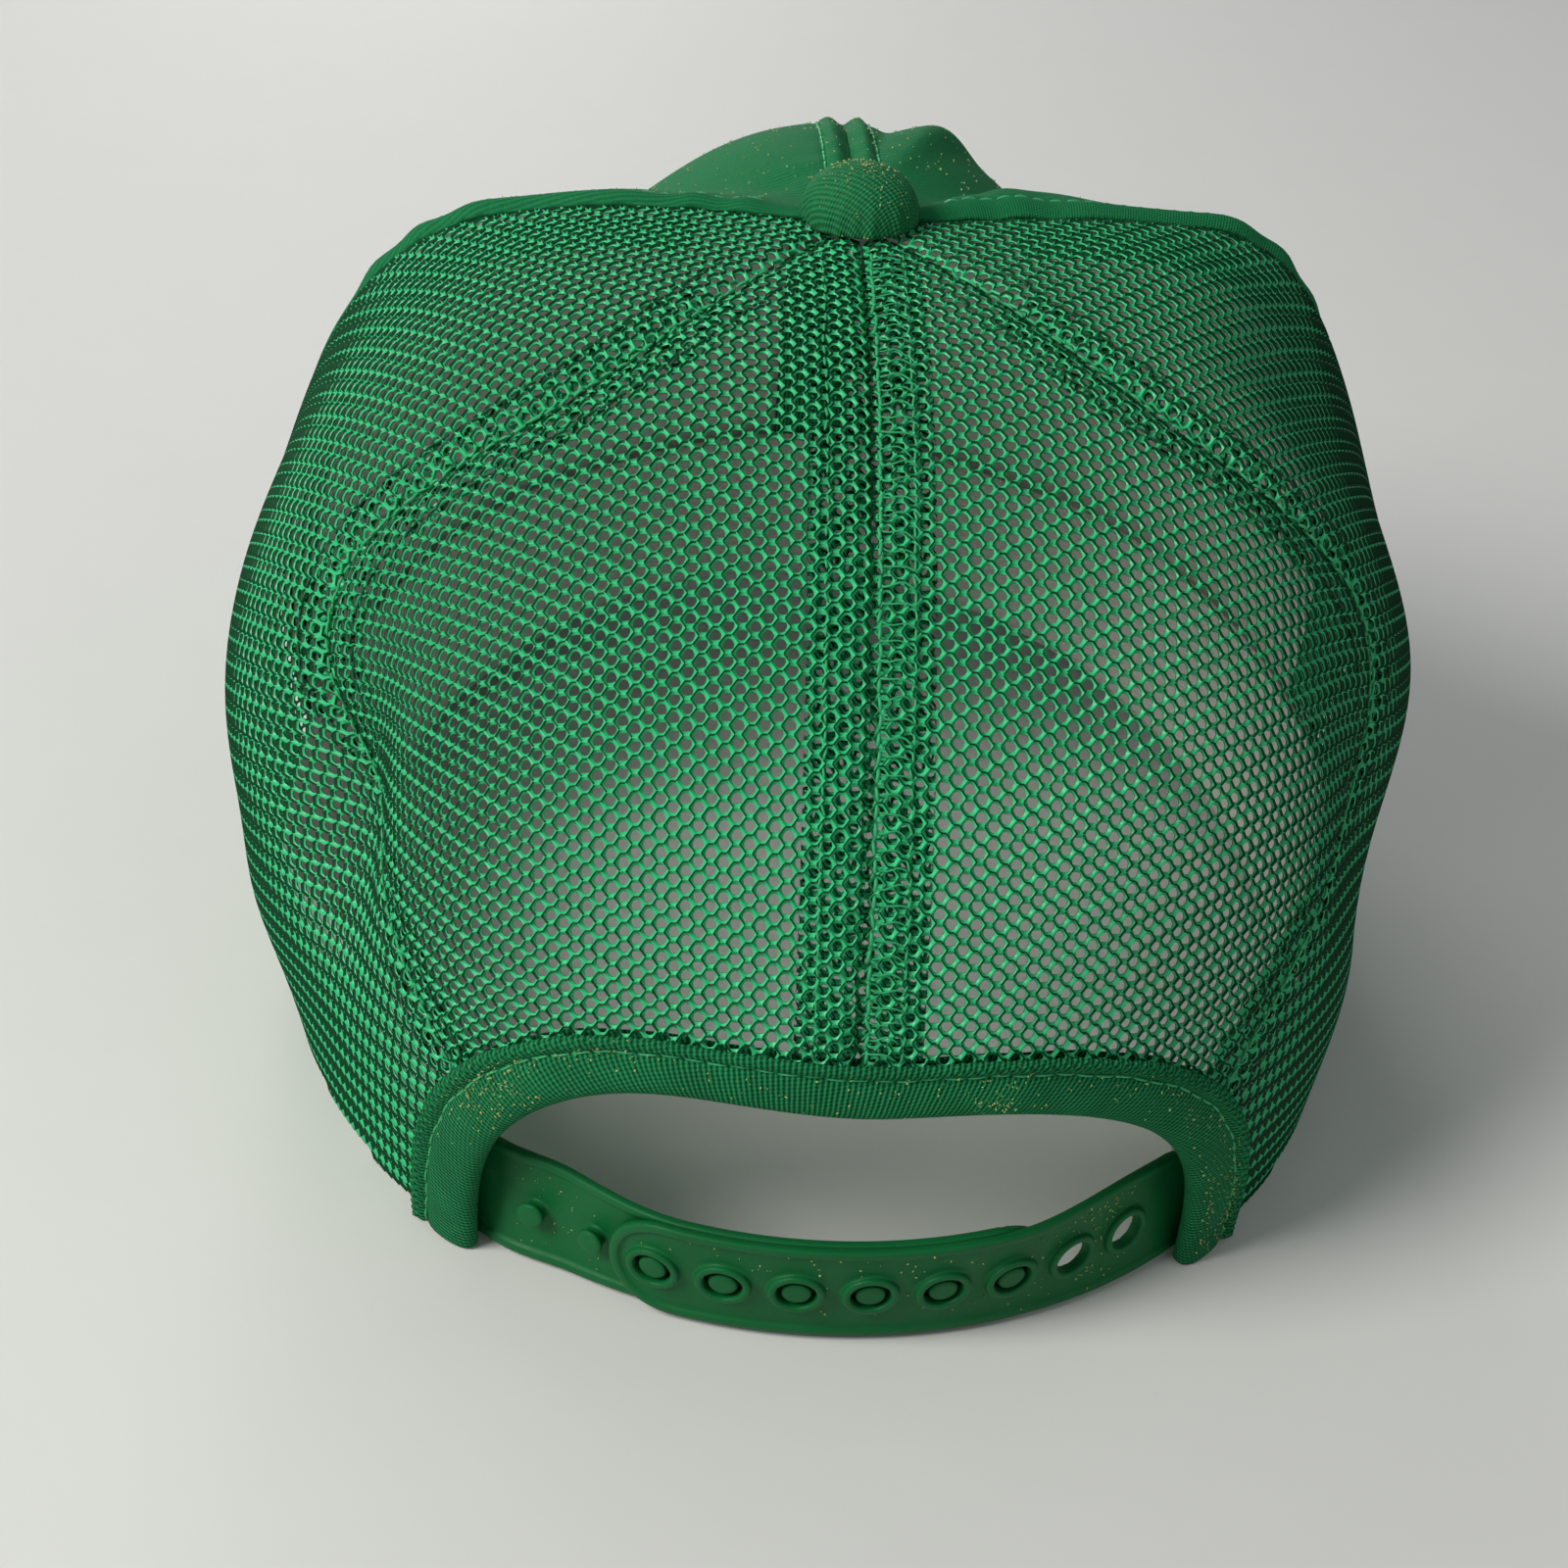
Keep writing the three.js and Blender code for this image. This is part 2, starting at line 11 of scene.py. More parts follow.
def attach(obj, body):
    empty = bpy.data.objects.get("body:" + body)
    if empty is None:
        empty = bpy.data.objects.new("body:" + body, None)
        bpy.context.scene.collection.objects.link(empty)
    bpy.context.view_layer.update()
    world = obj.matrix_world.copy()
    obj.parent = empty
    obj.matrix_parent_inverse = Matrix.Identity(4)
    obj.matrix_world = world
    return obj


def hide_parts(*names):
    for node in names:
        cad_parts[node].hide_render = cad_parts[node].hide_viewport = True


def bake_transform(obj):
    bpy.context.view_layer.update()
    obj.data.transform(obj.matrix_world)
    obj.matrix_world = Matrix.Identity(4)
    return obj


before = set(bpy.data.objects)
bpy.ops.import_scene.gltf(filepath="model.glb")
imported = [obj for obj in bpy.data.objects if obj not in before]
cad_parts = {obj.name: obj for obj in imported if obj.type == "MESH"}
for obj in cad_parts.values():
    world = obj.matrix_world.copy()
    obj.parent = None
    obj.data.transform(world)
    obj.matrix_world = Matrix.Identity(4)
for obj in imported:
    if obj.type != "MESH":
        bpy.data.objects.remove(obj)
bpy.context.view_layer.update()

MM = 0.001
TAU = 2 * math.pi

# ---- dimensions in millimetres, the same as the CAD part's ------------------------------------
HEAD_HALF_WIDTH = 80.0
HEAD_HALF_LENGTH = 97.0
CROWN_HEIGHT = 122.0
SHOULDER = {"front": 2.75, "side": 4.0, "rear": 2.4}
BULGE = {"front": -0.02, "side": 0.09, "rear": 0.06}
CREST = {"lift": 4.0, "half_width": 32.0}
HOLLOW = {"drop": 12.0, "azimuth": 43.0, "spread": 20.0}
APEX = math.radians(87.2)
RIM_RISE, RIM_RISE_POWER = 17.3, 1.7
ARCH = {"half_width": 49.0, "height": 42.2, "fullness": 3.0}
BINDING_WIDTH = 7.8
SWEATBAND = {"height": 30.0, "depth": 5.3, "thickness": 1.2}
TAPE = {"half_width": 6.0, "depth": 4.0, "thickness": 0.6}
VISOR = {
    "root_angle": 64.0, "root_gap": 0.5, "centre_y": -40.0, "half_width": 79.0, "reach": 127.0,
    "fullness": 2.3, "height": 22.0, "droop": 0.0031, "pitch": 0.05, "thickness": 4.0,
}
STRAP = {
    "radius": 68.0, "centre_y": 24.4, "lean": 0.23, "bottom": 0.6, "height": 18.0,
    "tab_lean": 0.14, "tab_end": 60.0,
}
SNAPS = {"count": 8, "pitch": 9.4, "first_hole": 24.0, "engaged": 6}
HOLE_PLACES = [SNAPS["first_hole"] - k * SNAPS["pitch"] for k in range(SNAPS["count"])]
PIN_STRAP_STEP = 1.5
BUTTON = {"radius": 8.2, "height": 7.4, "lift": 0.4}

# ---- knit ---------------------------------------------------------------------------------------
WALE = 1.56              # between neighbouring columns of holes
COURSE = 2.25            # between holes in one column
HOLE_HALF = (0.70, 0.72)
RIDGE_HEIGHT = 0.2       # heights over the crown surface: the zig-zag thread, the bars and their back
BAR_LEVEL = -0.24
NET_BACK = -0.5
REAR_ARC = 118.0         # millimetres per radian up the rear centre line

rng = random.Random(7)


def bell(x, middle, width):
    """A smooth bump of height 1 about the middle."""
    return np.exp(-(((x - middle) / width) ** 2))


def run(points):
    """Distance travelled from the first of the points to each of them."""
    steps = np.linalg.norm(np.diff(points, axis=0), axis=-1)
    return np.concatenate([0 * steps[:1], np.cumsum(steps, axis=0)])


# ---- the crown surface --------------------------------------------------------------------------
def rim_radius(phi):
    return 1 / np.hypot(np.sin(phi) / HEAD_HALF_WIDTH, np.cos(phi) / HEAD_HALF_LENGTH)


def crown(phi, psi):
    """Points of the CAD crown: phi 0 front, 90 degrees +X, 180 rear; psi 0 rim, 90 degrees top."""
    phi, psi = np.broadcast_arrays(np.asarray(phi, float), np.asarray(psi, float))
    s, c = np.sin(phi), np.cos(phi)
    front = np.maximum(c, 0) ** 2
    rear = np.maximum(-c, 0) ** 2
    full, swell = (
        front * part["front"] + rear * part["rear"] + s * s * part["side"] for part in (SHOULDER, BULGE)
    )
    rim = rim_radius(phi)
    across = np.maximum(np.cos(psi), 1e-9) / rim
    upward = np.maximum(np.sin(psi), 0) / CROWN_HEIGHT
    reach = (across**full + upward**full) ** (-1 / full)
    z = reach * np.sin(psi)
    r = reach * np.cos(psi) * (1 + swell * np.sin(np.pi * np.minimum(z / CROWN_HEIGHT, 1)))
    u = np.minimum(r / rim, 1)
    middle = 4 * u * u * (1 - u * u)
    azimuth = np.degrees(np.arctan2(np.abs(s), c))
    crest = bell(r * s, 0, CREST["half_width"]) * np.maximum(c, 0)
    hollow = bell(azimuth, HOLLOW["azimuth"], HOLLOW["spread"])
    z = z + (CREST["lift"] * crest - HOLLOW["drop"] * hollow) * middle
    return np.stack([r * s, -r * c, z], -1)


def crown_normal(phi, psi):
    e = 1e-3
    top = np.minimum(psi, np.pi / 2 - 0.02)
    n = np.cross(
        crown(phi + e, top) - crown(phi - e, top),
        crown(phi, top + e) - crown(phi, top - e),
    )
    return n / np.linalg.norm(n, axis=-1, keepdims=True)


# Slack and dents of the worn cloth: azimuth and elevation in degrees, height, and the spread each way.
SLACK = [
    (129, 35, -7.0, 7, 12), (108, 36, 3.2, 13, 12), (118, 12, -1.0, 12, 7), (151, 34, 2.0, 9, 14),
    (106, 15, 3.0, 12, 10), (76, 61, 2.4, 9, 8), (89, 48, -1.4, 8, 6), (343, 65, 2.6, 4.5, 10),
    (352, 66, -0.9, 2.5, 9), (312, 58, -4.5, 13, 13), (284, 63, 4.4, 10, 7), (297, 78, 2.4, 12, 6),
    (262, 70, 1.6, 16, 8), (252, 58, -2.6, 14, 9), (266, 48, -3.0, 14, 8), (249, 38, 0.6, 11, 6),
    (251, 27, -5.2, 14, 10), (232, 36, -2.0, 7, 12), (205, 50, 0.8, 14, 16), (160, 55, 0.8, 12, 14),
]


def slack(phi, psi):
    a = np.degrees(np.mod(phi, TAU))
    e = np.degrees(psi)
    total = np.zeros(np.broadcast(a, e).shape)
    for azimuth, elevation, height, wide, tall in SLACK:
        d = (a - azimuth + 180) % 360 - 180
        total += height * bell(d, 0, wide) * bell(e, elevation, tall)
    ripple = np.sin(np.radians(a * 7 + e * 3)) * np.sin(np.radians(e * 6 + a * 2))
    total += 0.35 * ripple * np.clip(e / 20, 0, 1) * np.clip((80 - e) / 30, 0, 1)
    return total


def on_crown(phi, psi, out=0.0):
    """Points `out` millimetres outside the slack crown."""
    phi, psi = np.broadcast_arrays(np.asarray(phi, float), np.asarray(psi, float))
    lift = slack(phi, psi) + out
    return crown(phi, psi) + crown_normal(phi, psi) * lift[..., None]


def rim_height(phi):
    return RIM_RISE * np.maximum(np.cos(phi), 0) ** RIM_RISE_POWER


def rim_angle(phi):
    return np.arctan2(rim_height(phi), rim_radius(phi))


def front_side(psi):
    return np.radians(72 + 8 * np.sin(psi))


def rear_side(psi):
    e = np.degrees(psi)
    return np.radians(141 - 20 * bell(e, 47, 15) + 14 * bell(e, 0, 24))


def rear_centre(psi):
    return np.full(np.shape(psi), np.pi)


def front_centre(psi):
    return np.zeros(np.shape(psi))


def mirrored(seam):
    return lambda psi: TAU - seam(psi)


def negated(seam):
    return lambda psi: -seam(psi)


SEAMS = [front_centre, front_side, rear_side, rear_centre, mirrored(rear_side), mirrored(front_side)]


def seam_distance(phi, psi):
    """Millimetres to the nearest seam."""
    radius = np.hypot(*np.moveaxis(crown(phi, psi)[..., :2], -1, 0))
    near = np.full(np.shape(phi), 1e9)
    for seam in SEAMS:
        d = np.abs((phi - seam(psi) + np.pi) % TAU - np.pi) * radius
        near = np.minimum(near, d)
    return near


def arch_reach(turn, grow):
    """From the middle of the opening's foot out to its outline; wear has pulled one corner up."""
    n = ARCH["fullness"]
    c = np.abs(np.cos(turn)) / (ARCH["half_width"] + grow)
    s = np.maximum(np.sin(turn), 0) / (ARCH["height"] + grow)
    pulled = 1.9 * bell(turn, math.radians(54), 0.28)
    sagging = 0.5 * bell(turn, math.radians(92), 0.25)
    return (c**n + s**n) ** (-1 / n) + pulled - sagging


def arch_outline(turn, grow):
    turn = np.asarray(turn, float)
    reach = arch_reach(turn, grow)
    return reach * np.cos(turn), reach * np.sin(turn)


def inside_arch(p, grow):
    up = np.maximum(p[..., 2], 0)
    return (np.hypot(p[..., 0], up) < arch_reach(np.arctan2(up, p[..., 0]), grow)) & (p[..., 1] > 0)


def rear_angles(x, z):
    """The rear crown's (phi, psi) at the given x and z."""
    x, z = np.asarray(x, float), np.asarray(z, float)
    phi = np.full(x.shape, np.pi)
    psi = np.zeros(x.shape)
    for _ in range(10):
        low, high = np.zeros(x.shape), np.full(x.shape, math.radians(80))
        for _ in range(24):
            psi = (low + high) / 2
            short = crown(phi, psi)[..., 2] < z
            low, high = np.where(short, psi, low), np.where(short, high, psi)
        p = crown(phi, psi)
        phi = np.pi - np.arcsin(np.clip(x / np.hypot(p[..., 0], p[..., 1]), -0.95, 0.95))
    return phi, psi


# ---- mesh helpers -------------------------------------------------------------------------------
def build(name, shape, materials, replaces=(), cloth=None, body="cap", smooth=True, tones=None):
    """A mesh object from points, in millimetres, and faces.

    cloth gives each point its place on the flat cloth, and tones gives each face its material."""
    mesh = bpy.data.meshes.new(name)
    points, faces = shape
    points = np.asarray(points, np.float64).reshape(-1, 3) * MM
    mesh.from_pydata(points.tolist(), [], [tuple(int(i) for i in f) for f in faces])
    if cloth is not None:
        attribute = mesh.attributes.new("cloth", "FLOAT_VECTOR", "POINT")
        attribute.data.foreach_set("vector", np.asarray(cloth, np.float32).reshape(-1))
    for m in materials:
        mesh.materials.append(m)
    if tones is not None:
        mesh.polygons.foreach_set("material_index", np.asarray(tones, np.int32))
    mesh.polygons.foreach_set("use_smooth", [smooth] * len(mesh.polygons))
    mesh.validate()
    mesh.update()
    o = bpy.data.objects.new(name, mesh)
    bpy.context.scene.collection.objects.link(o)
    if body:
        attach(o, body)
    if replaces:
        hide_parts(*replaces)
    return o


def grid_faces(columns, rows, closed=False):
    """Quads of a grid of rows x columns points, optionally wrapping round the columns."""
    i, j = np.meshgrid(np.arange(columns if closed else columns - 1), np.arange(rows - 1))
    a = j * columns + i
    b = j * columns + (i + 1) % columns
    return np.stack([a, b, b + columns, a + columns], -1).reshape(-1, 4)


def slab(outer, inner):
    """Closed shell between two equal grids of points shaped (rows, columns, 3)."""
    rows, columns = outer.shape[:2]
    count = rows * columns
    top = grid_faces(columns, rows)
    edge = list(range(columns))
    edge += [j * columns + columns - 1 for j in range(1, rows)]
    edge += [(rows - 1) * columns + i for i in range(columns - 2, -1, -1)]
    edge += [j * columns for j in range(rows - 2, 0, -1)]
    edge = np.array(edge)
    after = np.roll(edge, -1)
    wall = np.stack([after, edge, edge + count, after + count], -1)
    points = np.concatenate([outer.reshape(-1, 3), inner.reshape(-1, 3)])
    return points, np.concatenate([top, top[:, ::-1] + count, wall])


def swept(rings):
    """Capped tube through rings of points shaped (stations, points, 3)."""
    stations, count = rings.shape[:2]
    last = (stations - 1) * count
    faces = [tuple(f) for f in grid_faces(count, stations, True)]
    faces += [tuple(range(count))[::-1], tuple(range(last, last + count))]
    return rings.reshape(-1, 3), faces


def inside_out(shape):
    """The same shape with its faces turned round."""
    points, faces = shape
    return points, [face[::-1] for face in faces]


def merge(parts):
    """One shape from several."""
    points, faces, offset = [], [], 0
    for p, f in parts:
        points.append(np.asarray(p))
        faces += [tuple(i + offset for i in face) for face in f]
        offset += len(p)
    return np.concatenate(points), faces


def turns(count):
    """Angles at equal steps round a circle."""
    return TAU * np.arange(count) / count


# A stitch from end to end: place along it, thickness and height, the last two in thread radii.
STITCH = [(-0.5, 0.25, -0.35), (-0.36, 0.9, -0.1), (0.0, 1.0, 0.35), (0.36, 0.9, -0.1), (0.5, 0.25, -0.35)]


def stitches(path, normals, pitch, length, radius, wander=0.0):
    """Short thread stitches laid end to end along a path: points and faces of one mesh."""
    along = run(path)
    turn = turns(6)[:, None]
    parts = []

    def between_points(values, d):
        return np.array([np.interp(d, along, values[:, k]) for k in range(3)])

    for start in np.arange(0, along[-1] - pitch, pitch):
        mid = start + pitch / 2
        first, centre, last = (between_points(path, d) for d in (start, mid, start + pitch))
        n = between_points(normals, mid)
        n = n / np.linalg.norm(n)
        direction = (last - first) / max(np.linalg.norm(last - first), 1e-9)
        side = np.cross(direction, n)
        turned = direction + side * rng.gauss(0, wander)
        centre = centre + side * rng.gauss(0, wander * 0.6)
        section = side * np.cos(turn) + n * np.sin(turn)
        parts.append(swept(np.array([
            centre + turned * t * length * (1 - abs(rng.gauss(0, wander * 0.5)))
            + n * rise * radius + radius * swell * section
            for t, swell, rise in STITCH
        ])))
    return merge(parts)


# ---- materials ----------------------------------------------------------------------------------
class Look:
    """A material with its shader, and short ways to add the nodes that feed it."""

    def __init__(self, name, colour, roughness, metallic=0.0, specular=0.5):
        self.material = bpy.data.materials.new(name)
        self.material.use_nodes = True
        self.nodes = self.material.node_tree.nodes
        self.inputs = self.nodes["Principled BSDF"].inputs
        self.inputs["Base Color"].default_value = (*colour, 1)
        self.inputs["Roughness"].default_value = roughness
        self.inputs["Metallic"].default_value = metallic
        self.inputs["Specular IOR Level"].default_value = specular

    def put(self, socket, value):
        """Give a socket a number, a colour or another node's output."""
        if hasattr(value, "is_output"):
            self.material.node_tree.links.new(value, socket)
        elif isinstance(value, tuple):
            socket.default_value = (*value, 1)
        else:
            socket.default_value = value

    def math(self, operation, *values):
        n = self.nodes.new("ShaderNodeMath")
        n.operation = operation
        for socket, value in zip(n.inputs, values):
            self.put(socket, value)
        return n.outputs[0]

    def scaled_sum(self, a, k, b):
        return self.math("MULTIPLY_ADD", a, k, b)

    def noise(self, vector, scale, detail=3.0, rough=0.55):
        n = self.nodes.new("ShaderNodeTexNoise")
        for name, value in (("Vector", vector), ("Scale", scale), ("Detail", detail), ("Roughness", rough)):
            self.put(n.inputs[name], value)
        return n.outputs["Fac"]

    def mix(self, factor, low, high):
        n = self.nodes.new("ShaderNodeMix")
        n.data_type = "RGBA"
        for socket, value in ((0, factor), (6, low), (7, high)):
            self.put(n.inputs[socket], value)
        return n.outputs[2]

    def place(self):
        return self.nodes.new("ShaderNodeTexCoord").outputs["Object"]

    def cloth_space(self):
        """Vector of millimetres on the flat cloth, and its two coordinates."""
        a = self.nodes.new("ShaderNodeAttribute")
        a.attribute_name = "cloth"
        split = self.nodes.new("ShaderNodeSeparateXYZ")
        self.put(split.inputs[0], a.outputs["Vector"])
        return a.outputs["Vector"], split.outputs[0], split.outputs[1]

    def ribs(self, s, t, angle, pitch, wobble):
        """0 to 1 ribs across direction `angle` on the cloth, `pitch` millimetres apart."""
        across = self.math("MULTIPLY", s, math.cos(angle) * TAU / pitch)
        phase = self.scaled_sum(t, math.sin(angle) * TAU / pitch, across)
        wave = self.math("SINE", self.scaled_sum(wobble, 2.2, phase))
        return self.scaled_sum(wave, 0.5, 0.5)

    def finish(self, colour, height=None, strength=1.0, depth=0.0):
        """Feed the shader its colour and bump, and give the material."""
        self.put(self.inputs["Base Color"], colour)
        if height is not None:
            bump = self.nodes.new("ShaderNodeBump")
            for name, value in (("Strength", strength), ("Distance", depth), ("Height", height)):
                self.put(bump.inputs[name], value)
            self.put(self.inputs["Normal"], bump.outputs[0])
        return self.material


def scaled(colour, k):
    return tuple(min(1.0, c * k) for c in colour)


def woven(name, colour, pitch=0.62, angle=math.radians(58), depth=0.00012, contrast=0.5):
    """Twill: diagonal ribs crossed by finer yarns, with faded and dusty patches."""
    look = Look(name, colour, 0.85, specular=0.08)
    vector, s, t = look.cloth_space()
    wobble = look.noise(vector, 0.55, 2.0)
    rib = look.ribs(s, t, angle, pitch, wobble)
    yarn = look.ribs(s, t, angle + math.pi / 2.2, pitch * 0.62, wobble)
    weave = look.scaled_sum(yarn, 0.4, look.math("MULTIPLY", rib, 0.6))
    patch = look.noise(vector, 0.045, 4.0, 0.6)
    speck = look.noise(vector, 1.4, 2.0, 0.7)
    faded = tuple(c + 0.04 * (0.5 - c) for c in scaled(colour, 1 + contrast))
    dark = look.mix(patch, scaled(colour, 1 - contrast * 1.4), scaled(colour, 1 - contrast * 0.5))
    light = look.mix(patch, scaled(colour, 1 + contrast), faded)
    tone = look.scaled_sum(speck, 0.5, look.math("MULTIPLY", weave, 0.6))
    look.put(look.inputs["Roughness"], look.scaled_sum(patch, 0.2, 0.75))
    return look.finish(look.mix(tone, dark, light), weave, 0.9, depth)


def ribbed(name, colour, pitch, angle):
    """Binding tape: fine cords across the tape, with painted highlights on their crowns and painted shade
    between them.
    """
    look = Look(name, colour, 0.85, specular=0.1)
    vector, s, t = look.cloth_space()
    wobble = look.noise(vector, 0.7, 2.0)
    cord = look.ribs(s, t, angle, pitch, wobble)
    cross = look.ribs(s, t, math.pi / 2 - 0.2, pitch * 0.8, wobble)
    weave = look.scaled_sum(cross, 0.25, look.math("MULTIPLY", cord, 0.75))
    wear = look.noise(vector, 0.12, 4.0, 0.65)
    # low is painted shade between the cords and high a painted highlight on their crowns, each varied by
    # wear.
    low = look.mix(wear, scaled(colour, 0.12), scaled(colour, 0.34))
    high = look.mix(wear, scaled(colour, 1.2), scaled(colour, 2.8))
    return look.finish(look.mix(weave, low, high), weave, 1.0, 0.0002)


def filament(name, colour, roughness, specular=0.3):
    """Knitted nylon: glossy filament whose tone drifts over the panel."""
    look = Look(name, colour, roughness, specular=specular)
    place = look.place()
    drift = look.noise(place, 28.0)
    fleck = look.noise(place, 900.0, 1.0)
    tone = look.scaled_sum(fleck, 0.5, look.math("MULTIPLY", drift, 0.5))
    return look.finish(look.mix(tone, scaled(colour, 0.7), scaled(colour, 1.3)))


def moulded(name, colour):
    """Satin polyethylene: faint flow marks, scuffs and fine handling dust."""
    look = Look(name, colour, 0.45, specular=0.2)
    place = look.place()
    flow = look.noise(place, 45.0, 4.0, 0.6)
    scuff = look.noise(place, 420.0, 3.0, 0.7)
    tint = look.mix(flow, scaled(colour, 0.8), scaled(colour, 1.25))
    dust = look.math("MULTIPLY", look.math("GREATER_THAN", scuff, 0.70), 0.1)
    look.put(look.inputs["Roughness"], look.scaled_sum(scuff, 0.35, 0.33))
    return look.finish(look.mix(dust, tint, (0.2, 0.27, 0.14)), scuff, 0.35, 0.00006)


def grained(name, colour, scale, roughness=0.9, metallic=0.0, depth=0.00015, spread=0.12):
    """Plain material with a fine grain: foam, metal or the stage floor."""
    look = Look(name, colour, roughness, metallic)
    grain = look.noise(look.place(), scale, 4.0, 0.6)
    tint = look.mix(grain, scaled(colour, 1 - spread), scaled(colour, 1 + spread))
    return look.finish(tint, grain, 0.5, depth)


TWILL = woven("twill", (0.006, 0.145, 0.047), contrast=0.62)
BUTTON_TWILL = woven("button_twill", (0.012, 0.15, 0.052), 0.72, math.radians(55), 0.00026, 0.75)
LINING_TWILL = woven("visor_lining", (0.014, 0.15, 0.058), pitch=0.5)
BINDING_TAPE = ribbed("binding_tape", (0.008, 0.122, 0.042), 0.66, math.radians(8))
SEAM_TAPE = ribbed("seam_tape", (0.03, 0.26, 0.10), 0.7, 0.0)
SWEAT_CLOTH = woven("sweatband_cloth", (0.70, 0.70, 0.64), 0.7, math.radians(90), contrast=0.12)
NET_BAR = filament("net_bar", (0.035, 0.52, 0.20), 0.36)
# Darker, thicker zig-zag thread, darkened further as painted shadow on the sides of the raised thread; also
# used as painted shade on the hole walls.
NET_RIDGE_AND_SHADE = filament("net_ridge_and_shade", (0.002, 0.05, 0.016), 0.45, specular=0.2)
THREAD = filament("thread", (0.03, 0.34, 0.13), 0.45)
DARK_THREAD = filament("dark_thread", (0.005, 0.07, 0.025), 0.5)
FOAM = grained("front_lining", (0.72, 0.72, 0.66), 1500.0)
STRAP_PLASTIC = moulded("strap_plastic", (0.002, 0.105, 0.026))
BOARD = grained("visor_stiffener", (0.35, 0.36, 0.33), 900.0, 0.6)
METAL = grained("button_metal", (0.6, 0.61, 0.62), 2000.0, 0.35, 1.0)
LINT = grained("lint", (0.34, 0.42, 0.15), 3000.0, 0.95, spread=0.5)
STAGE = grained("stage_floor", (0.70, 0.70, 0.67), 60.0, 0.75, depth=0.0001, spread=0.015)


# ---- knitted mesh -------------------------------------------------------------------------------
class Knit:
    """Flat net laid on the crown about one azimuth: courses cross that line at right angles."""

    def __init__(self, azimuth):
        self.azimuth = azimuth
        self.elevation = np.linspace(0, math.pi / 2, 400)
        line = crown(azimuth, self.elevation)
        self.along = run(line)
        self.distance = np.linalg.norm(line, axis=1)

    def angles(self, flat):
        """(phi, psi) of flat points, s across and t up the panel, in millimetres."""
        length = self.along[-1]
        over = np.maximum(flat[..., 1] - length, 0)
        up = np.interp(flat[..., 1], self.along, self.elevation) + over / self.distance[-1]
        side = flat[..., 0] / np.interp(flat[..., 1], self.along, self.distance)
        phi = self.azimuth + np.arctan2(np.sin(side), np.cos(side) * np.cos(up))
        psi = np.arcsin(np.clip(np.cos(side) * np.sin(up), -1, 1))
        return phi, psi


# A tile of the net: eight points on its border, and the hole's eight points, going round.
TILE_SIDE = (WALE**2 + COURSE**2 / 4) / (2 * WALE)
TILE_CORNER = WALE - TILE_SIDE
TILE = np.array([
    (0, COURSE / 2), (TILE_CORNER, COURSE / 2), (TILE_SIDE, 0), (TILE_CORNER, -COURSE / 2),
    (0, -COURSE / 2), (-TILE_CORNER, -COURSE / 2), (-TILE_SIDE, 0), (-TILE_CORNER, COURSE / 2),
])
# Two courses of holes alternate: one with a point at the top and a wide foot, one the other way up.
HOLES = np.array([
    ((0, 1.05), (0.62, 0.74), (1, 0), (0.86, -0.8), (0, -0.92), (-0.86, -0.8), (-1, 0), (-0.62, 0.74)),
    ((0, 0.9), (0.84, 0.82), (1, 0.05), (0.6, -0.76), (0, -1), (-0.6, -0.76), (-1, 0.05), (-0.84, 0.82)),
]) * HOLE_HALF
# Which of a tile's eight sides carry the raised thread, for each of the two courses.
RIDGES = np.array([(1, 0, 1, 0, 0, 1, 1, 1), (0, 1, 1, 1, 1, 0, 1, 0)])


